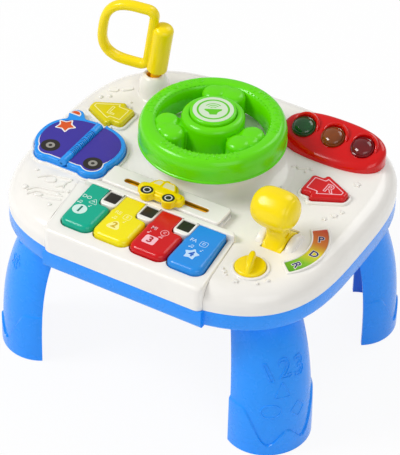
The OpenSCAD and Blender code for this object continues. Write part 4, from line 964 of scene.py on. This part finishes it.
def rim_bumps():
    """Raised rings, beads and waves of the three grip bands"""
    parts = []

    def draw(points, radius, closed=False):
        parts.append(tube([on_rim(a, s, -0.25) for a, s in points], radius, closed, 2))

    def loop(at, s, wide, high, n, radius):
        draw([(at + wide * math.cos(t), s + high * math.sin(t)) for t in full_turn(n)], radius, True)

    for middle in (46, 166, 286):
        for k in range(9):
            at = middle - 34 + 8.5 * k
            if k % 3 == 0:
                loop(at, 0.02, 2.7, 0.34, 16, 0.75)
                loop(at, 0.02, 1.1, 0.13, 10, 0.7)
            elif k % 3 == 1:
                draw([(at - 3 + j / 2, 0.3 * math.sin(0.1 * j * math.tau) + 0.05) for j in range(13)], 0.8)
            else:
                for step, s in ((-2.2, -0.3), (0.2, 0.28), (2.4, -0.1)):
                    loop(at + step, s, 0.8, 0.1, 8, 0.8)
        for k in range(17):
            at = middle - 36 + 4.5 * k
            draw([(at - 0.7, -0.62), (at + 0.7, -0.62)], 0.85)
    return join(*parts)


def lobe(x, y, radius, low, high, edge):
    profile = [(0, low), (radius, low), (radius, high - edge)]
    profile += eased(radius, high - edge, edge, 0.9 * edge, 8)[1:] + [(0, high)]
    return moved(lathe(profile, 48), shift(x, y))


def spoke():
    """Kidney-shaped pad between hub and rim, along +X, creased on the hub's side"""
    parts = [lobe(44.6, side * 9.6, 12.8, RIM_LOW + 1, HUB_TOP - 4.2, 7) for side in (-1, 1)]
    parts.append(lobe(49.6, 0, 10.0, RIM_LOW + 1, HUB_TOP - 4.7, 6))
    parts.append(slab([rect(26, -12, 44, 12)], RIM_LOW + 1, HUB_TOP - 9))
    return remeshed(join(*parts), 0.6, 0.8, 12)


def steering_wheel():
    spoke_shape = spoke()
    spokes = [moved(spoke_shape, shift(*WHEEL) @ turn(106 + 120 * i)) for i in range(3)]
    hub = [(12, -32.5), (32.3, -33.5), (32.8, -33.1), (32.1, -6)] + eased(31.9, -5.6, 5.6, 5.6, 10)
    hub += [(24.6, 0), (23.9, -0.6), (23.8, -6.8), (12, -7.0)]
    body = moved(lathe(hub, 96, True), shift(*WHEEL, HUB_TOP))
    return join(rim(), rim_bumps(), body, *spokes)


def horn_button():
    profile = [(0, -7.4), (23.5, -7.4)] + eased(23.5, -2.3, 2.4, 2.0, 6)
    profile += [(20.9, -0.3), (20.7, -0.4), (0, -0.4)]
    return moved(lathe(profile, 96), shift(*WHEEL, HORN_TOP))


def horn_label():
    profile = [(0, -0.8), (20.6, -0.8), (20.6, -0.1), (20.3, 0), (0, 0)]
    return moved(lathe(profile, 96), shift(*WHEEL, HORN_TOP))


def horn_print():
    """Pale disc's green ring, and a loudspeaker with three sound arcs"""
    low, high = HORN_TOP - 0.1, HORN_TOP + 0.08
    cone = [(-3.6, -8.5), (3.6, -8.5), (4.4, -5.0), (8.6, -1.4), (9.0, 0.6), (-9.0, 0.6), (-8.6, -1.4),
            (-4.4, -5.0)]
    parts = [slab([circle(0, 0, 16.6, 96), circle(0, 0, 14.6, 96)], low, high)]
    parts.append(slab([soft(cone, 0.8, 3)], low, high))
    for r in (3.6, 6.4, 9.2):
        parts.append(line(arc(0, 0.4, r, 40, 140, 14), 1.1, 0.08, HORN_TOP, False))
    return moved(join(*parts), shift(*WHEEL) @ turn(29))


# ---- gear lever and dial ----


def lever_knob():
    """Barrel along X with soft lengthwise flutes and a groove before its right end"""
    loop = superellipse(20.6, 23.8, 2.7, 120)
    turns = full_turn(144)
    rings = []
    for r, x in loop[-29:] + loop[:30]:
        r -= 0.5 * math.exp(-((x - 17.8) / 0.7) ** 2)
        flute = 0.45 * math.exp(-(x / 12) ** 4)
        radii = [r - flute * (1 + math.cos(9 * a)) / 2 for a in turns]
        rings.append([(x, q * math.cos(a), q * math.sin(a)) for q, a in zip(radii, turns)])
    return stack(rings)


def gear_lever():
    lean = shift(*LEVER) @ turn(8, "X")
    w = 11.0
    drum = lathe([(0, -w), (23.2, -w), (24, 0.8 - w), (24, w - 0.8), (23.2, w), (0, w)], 96)
    saddle = carved(moved(drum, turn(90, "Y")), slab([rect(-40, -40, 40, 40)], -60, -5))
    rings = []
    for z, hx, hy in [(18.5, 10.8, 15.5), (20.5, 10.8, 13.6), (23.5, 10.7, 11.4), (27, 10.5, 9.8),
                      (32, 10.3, 9.0), (38, 10.6, 9.2), (43, 12.0, 10.6), (47, 14.0, 12.5), (52, 15.5, 14.5)]:
        rings.append(ring(superellipse(hx, hy, 4, 64), z))
    hole = moved(slab([superellipse(2.2, 3.6, 2, 24)], -3, 3), shift(10.6, -1, 29) @ turn(90, "Y"))
    knob = moved(lever_knob(), shift(-1.8, 0, 60.2))
    return moved(join(saddle, carved(stack(rings), hole), knob), lean)


def dial_knob():
    disc = [(0, GAP), (15.5, GAP), (15.5, 2.4), (15.2, 3.4), (14.4, 4.2), (13.4, 4.5), (0, 4.9)]
    rings = []
    for z, hx, hy in [(2, 14.8, 4.4), (5, 14.8, 4.2), (8, 14.4, 4.0), (10.5, 13.4, 3.7), (12.2, 11.8, 3.2),
                      (13.3, 9.6, 2.6), (13.7, 7.0, 1.7)]:
        rings.append(ring(superellipse(hx, hy, 2.6, 48), z))
    return moved(join(lathe(disc, 72), moved(stack(rings), turn(108))), shift(*DIAL, DECK))


# ---- arrow buttons ----


def arrow_button():
    return slab([arrow_outline()], KEY_TOP - 13, KEY_TOP, 3.0, 6)


def arrow_print(letter):
    """Outline along the arrow and its letter; L is mirrored because its arrow is"""
    border = slab([arrow_outline(-4.6), arrow_outline(-5.5)], KEY_TOP - 0.1, KEY_TOP + 0.12)
    letters = moved(text(letter, 17, 0.3, 0.12, 0.45), shift(3.0, 0, KEY_TOP))
    if letter == "L":
        letters = bent(letters, lambda x, y, h: (-x, y, h))
    return join(border, letters)


# ---- traffic light ----


def lights_outline():
    return superellipse(*LIGHTS_HALF, 2.5, 160)


def lights_ring(inset, z):
    """Outline of the traffic light's face; it draws in more at the front"""
    half_x, half_y = LIGHTS_HALF
    out = []
    for x, y in lights_outline():
        share = inset + 0.9 * max(-y / half_y, 0) * min(inset, 7.5)
        x, y = x * (1 - inset / half_x), y * (1 - share / half_y)
        out.append((LIGHTS[0] + x, LIGHTS[1] + y, z + y * math.tan(LIGHTS_TILT)))
    return out


def on_lights(i, shape):
    """The shape on the tilted face: i is -1, 0 or 1 from left to right"""
    at = shift(LIGHTS[0] + 33.5 * i, LIGHTS[1] - 1, LIGHTS_TOP - math.tan(LIGHTS_TILT))
    return moved(shape, at @ turn(math.degrees(LIGHTS_TILT), "X"))


def traffic_housing():
    rings = [ring(placed(lights_outline(), *LIGHTS), DECK)]
    rings += [lights_ring(inset, LIGHTS_TOP - 7.2 + rise) for inset, rise in bulge(7.5, 6.6, 12)]
    for inset, drop in [(9.5, 0.35), (12.5, 0.15), (16, 0), (20, 0)]:
        rings.append(lights_ring(inset, LIGHTS_TOP - drop))
    well = lathe([(0, -7), (12.5, -7), (12.5, 20), (0, 20)], 64)
    hood = lens_hood()
    body = carved(stack(rings), *[on_lights(i, well) for i in (-1, 0, 1)])
    return join(body, *[on_lights(i, hood) for i in (-1, 0, 1)])


def lens_hood():
    """Crescent wall behind a lens, highest at its middle"""
    section = [(12.6, -1.5), (17.2, -1.5), (17.0, 2.8), (16.6, 5.0), (15.5, 6.5), (14.3, 6.8), (13.3, 6.1),
               (12.7, 4.8)]
    rings = []
    for k in range(41):
        a = math.radians(-8 + 180 * k / 40)
        fade = math.sin(math.pi * k / 40) ** 0.6
        radii = [r - (r - 12.6) * 0.55 * (1 - fade) for r, z in section]
        rings.append([(q * math.cos(a), q * math.sin(a), -1.5 + (z + 1.5) * fade)
                      for q, (r, z) in zip(radii, section)])
    return stack(rings)


def lens():
    profile = [(0, -3), (12.2, -3), (12.2, 1.6), (12.0, 2.2), (11.5, 2.5), (11.0, 2.4), (10.7, 2.1)]
    return lathe(profile + eased(10.6, 2.1, 10.6, 4.4, 12), 72)


# ---- flip book ----


def clipped(points, side):
    """Part of a dense outline left (-1) or right (1) of the spine"""
    edge = 4.6
    kept = [p for p in points if p[0] * side > edge]
    kept.sort(key=lambda p: math.atan2(side * p[1], side * p[0]))
    ys = [y for x, y in points if abs(x - side * edge) < 2.5]
    return kept + [(side * edge, max(ys)), (side * edge, min(ys))]


def leaf(side, low):
    """Thick half of the open book, its top edge rounded but for the spine's side"""
    outline = soft(clipped(book_outline(-0.4), side), 0.6, 1)
    return moved(slab([outline], low, BOOK_TOP, lambda x, _: 1.6 if abs(x) > 7 else 0.3, 4), shift(*BOOK))


def sticker(side, lower, high):
    """Printed face of a leaf; lower is its inset along the lower edge"""
    outline = soft(clipped(book_face(lower), side), 0.4, 1)
    return moved(slab([outline], BOOK_TOP - 0.2, high), shift(*BOOK))


def barrels(first):
    """Every other barrel of the spine, with its arm: the left leaf's from 0, the page's from 1"""
    parts = []
    for i in range(first, 5, 2):
        low, high = -35 + 14 * i + 0.15, -35 + 14 * (i + 1) - 0.15
        profile = [(0, low), (3.8, low), (4.3, low + 0.4), (4.3, high - 0.4), (3.8, high), (0, high)]
        if 1 <= i <= 3:
            ribs = []
            for k in range(5):
                y = low + 1.4 + 2.5 * k
                ribs += [(4.3, y), (3.2, y + 0.3), (3.2, y + 1.2), (4.3, y + 1.5)]
            profile = profile[:3] + ribs + profile[3:]
        parts.append(moved(lathe(profile, 32), shift(0, 0, HINGE_Z) @ turn(-90, "X")))
        arm = rect(-7.5, low, 0, high) if first == 0 else rect(0, low, 7.5, high)
        parts.append(slab([soft(arm, 0.8, 2)], DECK + (2.6 if first else 1), BOOK_TOP - 0.6, 0.5, 2))
    return moved(join(*parts), shift(*BOOK))


def book_base():
    """Flat car shape under the leaves"""
    return moved(slab([book_outline()], DECK, DECK + 2, 0.6), shift(*BOOK))


def book_painted_slot_shade():
    """Navy rod inside the spine's grooves: painted shade that shows as dark slots between the ribs"""
    return moved(lathe([(0, -20.5), (3.7, -20.5), (3.7, 20.5), (0, 20.5)], 32), HINGE)


def book_star(r, inner, soften, high):
    return slab([star_outline(-154.4, -16.6, r, inner, 82, soften)], BOOK_TOP, BOOK_TOP + high)


def book_lamp(y, r, start, high):
    """Disc cut off straight below: at its middle where start is 0, lower where it is less"""
    return slab([arc(-156.8, y, r, start, 180 - start, 24)], BOOK_TOP - 0.2, BOOK_TOP + high)


def book_wheel(x, y):
    tyre = [(0, -0.3), (10, -0.3), (10, 0.2), (9.7, 0.3), (0, 0.3)]
    return moved(lathe(tyre, 48), shift(x, y, BOOK_TOP))


def book_hub(x, y):
    return slab([circle(x, y, 4.7, 32), circle(x, y, 2.0, 24)], BOOK_TOP + 0.2, BOOK_TOP + 0.4)


# ---- turning key ----


def turning_key():
    post = [(0, 21), (9.8, 21), (10.8, 21.6), (11, 22.6), (11, 72)]
    post += [(11 * math.cos(t) ** 0.8, 72 + 7 * math.sin(t)) for t in quarter(9)[1:-1]] + [(0, 79)]
    ball = arc(0, 0, 9, -90, 90, 20)
    handle = moved(key_loop(), turn(197) @ shift(11, 0, 58))
    return moved(join(lathe(post, 64), lathe(ball, 48), handle), KEY_LEAN)


def key_neck():
    return moved(lathe([(0, 4), (5.3, 4), (5.3, 22), (0, 22)], 32), KEY_LEAN)


def key_loop():
    """D-shaped loop in the XZ plane; its bar is a little deeper than wide"""
    corner, half, arm = 8.0, 35.5, 16.0
    bow = superellipse(half, half, 2.8, 96)
    path = arc(corner, half - corner, corner, 180, 90, 8)
    path += [(arm + x, z) for x, z in (bow[-24:] + bow[:25])[::-1]]
    path += arc(corner, corner - half, corner, -90, -180, 8)
    rings = []
    for u, v in superellipse(5.0, 5.8, 2.5, 24):
        rings.append([(x, v, z) for x, z in mitre(path[::-1], u)])
    return stack(rings + [rings[0]], False, False)


def key_dome():
    skirt = [(0, 0), (17.5, 0), (16.6, 0.6), (16.1, 2)] + eased(16, 8, 7.4, 17, 12)
    bore = [(8.3, 24.8), (8.2, 24), (8.2, 13), (9.4, 11), (0, 2)]
    return moved(lathe(skirt + bore, 72), shift(*KEY_AT, DECK))


# Orange-yellow shell inside the white dome's bore: painted light and shade, so the hole round the key's neck
# looks orange-yellow
def dome_bore_painted_light():
    profile = [(7.8, 12.5), (8.1, 12.5), (8.1, 22.6), (7.4, 22.6), (7.4, 21.4), (7.8, 21)]
    return moved(lathe(profile, 48, True), shift(*KEY_AT, DECK))


# ---- sliding car ----


def car_outline(grow=0.0, rounds=1):
    """Side view of a small car, its wheels' bulges and its siren"""

    def inside(x, y):
        across = abs(x / (24.5 + grow))
        body = across <= 1 and -grow <= y <= 15 + grow and \
            across ** 5 + abs((y - 7.5) / (7.6 + grow)) ** 3 <= 1
        cab_half = 17.0 + grow - 0.28 * max(y - 11, 0)
        cab = abs((x + 1.2) / cab_half) ** 4 + abs((y - 12) / (12.2 + grow)) ** 3 <= 1
        wheels = in_circle(abs(x), y, 11.8, 1, 7 + grow)
        return body or cab or wheels or in_circle(x, y, -2.5, 22.8, 3.4 + grow)

    return relaxed(outline_of(inside, 0, 9, 300, 45), rounds)


def slider_car():
    body = slab([car_outline()], CAR_LOW, CAR_HIGH - 2.0, 2.2, 5)
    upper = slab([car_outline(-3.0, 2)], CAR_LOW + 2, CAR_HIGH - 0.4, 1.6, 4)
    tyre = lathe([(0, 5), (7.6, 5), (7.6, 8.4), (7.0, 9.0), (6.4, 9.0), (6.2, 8.4), (0, 8.4)], 48)
    frames = [slab([soft(mitre(w, 1.3), 2.4, 4), soft(w, 1.6, 4)], CAR_HIGH - 1.5, CAR_HIGH, 0.5, 2)
              for w in CAR_WINDOWS]
    neck = slab([rect(-4.4, 11.9, 4.4, 14.1)], BAR_TOP - 5.5, CAR_LOW + 1)
    tyres = [moved(tyre, shift(x, 1, CAR_LOW)) for x in CAR_WHEELS]
    return moved(join(body, upper, neck, *tyres, *frames), CAR)


def car_glass():
    panes = [slab([soft(w, 1.6, 4)], CAR_HIGH - 1.5, CAR_HIGH - 0.3, 0.25, 2) for w in CAR_WINDOWS]
    return moved(join(*panes), CAR)


def car_tyres():
    tyre = lathe([(0, -1.5), (6.1, -1.5), (6.1, -0.4), (5.8, -0.2), (0, -0.2)], 48)
    return moved(join(*[moved(tyre, shift(x, 1, CAR_HIGH)) for x in CAR_WHEELS]), CAR)


def car_hubs():
    hubs = [slab([circle(x, 1, 3.8, 32), circle(x, 1, 2.9, 24)], CAR_HIGH - 0.3, CAR_HIGH - 0.05)
            for x in CAR_WHEELS]
    return moved(join(*hubs), CAR)


# ---- legs ----


def leg_point(t, z, out=0.0):
    """Point on the round face of the leg at +X +Y; t runs from -90 to 90 degrees"""
    share = 1 - 0.2 * (max(z, 0) / LEG_H) ** 2.5
    lean = 25 * (max(z, 0) / LEG_H) ** 3
    a = math.radians(t)
    p, q = (40.3 * share + out) * math.cos(a) - lean, (43.4 * share + out) * math.sin(a)
    c, s = math.cos(LEG_TURN), math.sin(LEG_TURN)
    return (LEG_AT[0] + p * c - q * s, LEG_AT[1] + p * s + q * c, z)


def cuff_edge(t):
    """Height of the foot's thicker cuff, wavy round the leg"""
    t = abs(t)
    if t < 26:
        return 12.5 + 16.5 * math.cos(math.pi * t / 52) ** 2
    s = min((t - 26) / 40, 1)
    return 12.5 + 44.5 * s * s * (3 - 2 * s)


def leg_shell():
    """Half-round shell, open at its flat side and at the foot, with a roof over its top"""
    angles = [-90 + 180 * i / 64 for i in range(65)]
    cuff = [(0, 0, 1.7), (0.25, 0, 1.7), (0.5, 0, 1.7), (0.75, 0, 1.7), (0.97, 0, 1.7), (1.0, 0, 1.0),
            (1.03, 0, 0.0)]
    rings = []
    for share, rise, grow in cuff + [(1.03, k / 18, 0.0) for k in range(1, 19)]:
        outer, inner = [], []
        for t in angles:
            z = share * cuff_edge(t)
            z += (LEG_H - z) * rise
            outer.append(leg_point(t, z, grow))
            inner.append(leg_point(t, z, -3.0))
        rings.append(outer + inner[::-1])
    roof = [[leg_point(t, z, -2.9) for t in angles] for z in (LEG_H - 3, LEG_H)]
    return join(stack(rings), stack(roof))


def wrapped(shape, t0, z0):
    """Flat shape laid on the leg: x runs round it, y up and z outwards"""
    return bent(shape, lambda x, y, h: leg_point(t0 + math.degrees(x / LEG_ROUND), z0 + y, h))


def embossed(points, t0, z0):
    """Raised closed line laid on the leg"""
    path = [leg_point(t0 + math.degrees(x / LEG_ROUND), z0 + y, -0.15) for x, y in points]
    return tube(path, 0.85, True, 3)


def flower(r):
    """Outline with five soft petals"""
    turns = full_turn(60)
    reach = [r * (1 + 0.28 * math.cos(5 * t)) for t in turns]
    return [(q * math.cos(t), q * math.sin(t)) for q, t in zip(reach, turns)]


def leg_reliefs(numbered):
    """Raised figures on a leg's round face: numbers and shapes, or a flower and a ring"""
    if not numbered:
        return join(embossed(flower(6.5), 25, 112), embossed(circle(0, 0, 2.6, 20), 25, 112),
                    embossed(circle(0, 0, 5.0, 30), 15, 135))
    parts = []
    for word, t, z, tilt in [("1", 24, 100, 20), ("2", 0, 103, 0), ("3", -24, 100, 0)]:
        figure = moved(text(word, 30, 0.3, 1.1, 0.85), Matrix.Scale(-1, 4, (1, 0, 0)) @ turn(tilt))
        parts.append(wrapped(remeshed(figure, 0.5, 0.5, 2), t, z))
    triangle = soft([(-8.5, -8.5), (8.5, -8.5), (0, 10)], 3, 4)
    rhombus = soft([(-8.5, 0), (0, -10), (8.5, 0), (0, 10)], 2, 4)
    parts.append(embossed(triangle, 6, 80))
    parts.append(embossed(superellipse(10, 8, 2, 40), 23, 56))
    parts.append(embossed(rhombus, -17, 52))
    return join(*parts)


def spigot():
    x, y = LEG_AT[0] - 11 * math.cos(LEG_TURN), LEG_AT[1] - 11 * math.sin(LEG_TURN)
    return moved(lathe([(0, -1.5), (13, -1.5), (13, 9.5), (12.4, 10), (0, 10)], 48), shift(x, y, LEG_H))


def leg(sx, sy):
    shape = join(leg_shell(), leg_reliefs(sx * sy < 0), spigot())
    return bent(shape, lambda x, y, z: (sx * x, sy * y, z))


# ---- build ----

piece("deck_cover", top_shell(), WHITE, nodes=["top_shell"])
piece("housing", keyboard_housing(), WHITE, nodes=["keyboard_housing"])
piece("slot_lining", slot_lining(), OCHRE)
key_looks = [
    (TEAL, TEAL_PRINT, TEAL_DEEP, "teal_plastic"),
    (KEY_YELLOW, YELLOW_PRINT, YELLOW_DEEP, "yellow_plastic"),
    (KEY_RED, RED_PRINT, RED_DEEP, "red_plastic"),
    (KEY_BLUE, BLUE_PRINT, BLUE_DEEP, "key_blue_plastic"),
]
for index, (finish, paint, deep, slot_name) in enumerate(key_looks):
    body = f"key_{index + 1}"
    piece(f"{body}_cap", piano_key(index), finish, body, [f"piano_{body}"])
    piece(f"{body}_print", key_prints(index), paint, body)
    piece(f"{body}_number", key_number(index), deep, body)

piece("wheel_body", steering_wheel(), GREEN, "wheel", ["steering_wheel"])
piece("horn_cap", horn_button(), GREEN, "horn", ["horn_button"])
piece("horn_label", horn_label(), LABEL, "horn")
piece("horn_print", horn_print(), GREEN_PRINT, "horn")
piece("lever_body", gear_lever(), YELLOW, "lever", ["gear_lever"])
piece("dial_body", dial_knob(), YELLOW, "dial", ["dial_knob"])
for side, place, finish, paint, slot_name in [
    ("left", left_arrow, OLIVE, OLIVE_PRINT, "yellow_plastic"),
    ("right", right_arrow, ARROW_RED, RED_PRINT, "red_plastic"),
]:
    body = f"{side}_arrow"
    piece(f"{body}_cap", place(arrow_button()), finish, body, [f"{body}_button"])
    piece(f"{body}_print", place(arrow_print(side[0].upper())), paint, body)

piece("lights_body", traffic_housing(), RED, nodes=["traffic_housing"])
for i, finish, colour in [(-1, LENS_GREEN, "green"), (0, LENS_AMBER, "amber"), (1, LENS_RED, "red")]:
    lens_name = f"lens_{colour}"
    piece(f"{lens_name}_cap", on_lights(i, lens()), finish, nodes=[lens_name])

back_leaf = join(book_base(), leaf(-1, DECK + 1), barrels(0))
page_leaf = join(leaf(1, DECK + 2.3), barrels(1))
for word, side, body, shape, node_name in [
    ("left", -1, "table", back_leaf, "book_base_leaf"),
    ("right", 1, "page", page_leaf, "book_page"),
]:
    piece(f"book_{word}", shape, BOOK_BLUE, body, [node_name])
    piece(f"book_{word}_edge", sticker(side, 3.9, BOOK_TOP + 0.15), PRINT, body)
    piece(f"book_{word}_sticker", sticker(side, 5.0, BOOK_TOP + 0.22), STICKER, body)
# Navy rod in the spine's grooves: painted shade for the dark slots between the ribs
piece("book_painted_slot_shade", book_painted_slot_shade(), NAVY_PRINT_AND_SHADE)
piece("book_star_edge", book_star(12.2, 0.56, 2.2, 0.28), PRINT)
piece("book_star", book_star(9.6, 0.54, 1.6, 0.36), ORANGE)
piece("book_lamp_edge", book_lamp(5.0, 6.2, -10, 0.28), PRINT)
piece("book_lamp", book_lamp(5.4, 4.8, 0, 0.36), ORANGE)
for kind, shape_of, finish in (("wheel", book_wheel, BLACK), ("hub", book_hub, GREY)):
    piece(f"book_{kind}_left", shape_of(-149.6, -52.5), finish)
    piece(f"book_{kind}_right", shape_of(-97.0, -55.5), finish, "page")

piece("key_body", turning_key(), YELLOW, "key", ["turning_key"])
piece("key_dome_body", key_dome(), WHITE, nodes=["key_dome"])
# The dome's bore and the key's neck take the bright orange-yellow: painted light and shade where the yellow
# post shows in the hole
piece("key_dome_bore_painted_light", dome_bore_painted_light(), HOLLOW_LIGHT_AND_SHADE)
piece("key_neck", key_neck(), HOLLOW_LIGHT_AND_SHADE, "key")
piece("car_body", slider_car(), YELLOW, "car", ["slider_car"])
piece("car_glass", car_glass(), CREAM, "car")
piece("car_tyres", car_tyres(), BLACK, "car")
piece("car_hubs", car_hubs(), PRINT, "car")

piece("scale_plate", scale_plate(), SCALE)
for letter, lx, ly, spin in [("P", 151.0, -33.0, 24), ("D", 155.5, -56.0, -3), ("R", 148.5, -78.5, -30)]:
    spot = shift(lx, ly, SCALE_TOP) @ turn(spin)
    piece(f"scale_{letter}_edge", moved(text(letter, 12, 0.75, 0.06), spot), PRINT)
    piece(f"scale_{letter}", moved(text(letter, 12, 0.22, 0.14), spot), NAVY_PRINT_AND_SHADE)

for sx, sy, place in [(-1, -1, "front_left"), (1, -1, "front_right"), (-1, 1, "back_left"),
                      (1, 1, "back_right")]:
    piece(f"leg_{place}_body", leg(sx, sy), BLUE, nodes=[f"leg_{place}"])


# ---- stage, light and camera ----


def floor_material():
    """White floor that glows for the camera and in reflections and is matt for other light"""
    material, tree = new_material("floor_white")
    tree.nodes.clear()
    path = add(tree, "ShaderNodeLightPath")
    seen = path.outputs["Is Camera Ray"]
    for kind in ("Is Glossy Ray", "Is Transmission Ray"):
        both = add(tree, "ShaderNodeMath")
        both.operation = "MAXIMUM"
        tree.links.new(seen, both.inputs[0])
        tree.links.new(path.outputs[kind], both.inputs[1])
        seen = both.outputs[0]
    share = add(tree, "ShaderNodeMath")
    share.operation = "MULTIPLY"
    share.inputs[1].default_value = 0.92
    tree.links.new(seen, share.inputs[0])
    mix = add(tree, "ShaderNodeMixShader", Fac=share.outputs[0])
    matt = add(tree, "ShaderNodeBsdfDiffuse", Color=(0.93, 0.93, 0.93, 1))
    glow = add(tree, "ShaderNodeEmission", Color=(1, 1, 1, 1))
    tree.links.new(matt.outputs[0], mix.inputs[1])
    tree.links.new(glow.outputs[0], mix.inputs[2])
    add(tree, "ShaderNodeOutputMaterial", Surface=mix.outputs[0])
    return material


def stage():
    mesh = bpy.data.meshes.new("floor")
    mesh.from_pydata(ring(rect(-6, -6, 6, 6), 0), [], [(0, 1, 2, 3)])
    mesh.materials.append(floor_material())
    floor = linked(bpy.data.objects.new("floor", mesh))
    floor.location.z = -0.0004
    world = bpy.data.worlds.new("studio")
    bpy.context.scene.world = world
    world.use_nodes = True
    feed(world.node_tree, world.node_tree.nodes["Background"], Color=(1, 1, 1, 1), Strength=0.46)


def lamp(name, at, size, power):
    data = bpy.data.lights.new(name, "AREA")
    data.shape, data.size, data.energy = "SQUARE", size, power
    obj = linked(bpy.data.objects.new(name, data))
    obj.location = at
    obj.rotation_euler = (Vector((0, 0, 0.15)) - Vector(at)).to_track_quat("-Z", "Y").to_euler()


def camera():
    """Camera of the photograph, by its turn, height and roll and its lens in pixels"""
    a, e, roll = [math.radians(v) for v in (CAMERA_TURN, CAMERA_HEIGHT, CAMERA_ROLL)]
    back = Vector((math.sin(a) * math.cos(e), -math.cos(a) * math.cos(e), math.sin(e)))
    right = Vector((math.cos(a), math.sin(a), 0))
    up = back.cross(right)
    side = math.cos(roll) * right + math.sin(roll) * up
    rise = math.cos(roll) * up - math.sin(roll) * right
    eye = Vector(CAMERA_AIM) + back * CAMERA_AWAY
    data = bpy.data.cameras.new("camera")
    data.sensor_width = 36
    data.lens = LENS_PIXELS / PHOTO_PIXELS * data.sensor_width
    data.shift_x, data.shift_y = [v / PHOTO_PIXELS for v in SHIFT_PIXELS]
    data.clip_start, data.clip_end = 0.1, 50
    obj = linked(bpy.data.objects.new("camera", data))
    columns = Matrix((side, rise, back)).transposed()
    obj.matrix_world = Matrix.Translation(eye) @ columns.to_4x4()
    bpy.context.scene.camera = obj


stage()
lamp("key_light", (-1.5, -1.2, 2.2), 1.1, 45)
lamp("fill_light", (2.0, -1.6, 1.6), 1.8, 17)
lamp("back_light", (0.6, 2.0, 2.0), 1.4, 16)
camera()
bpy.context.scene.view_settings.view_transform = "Standard"
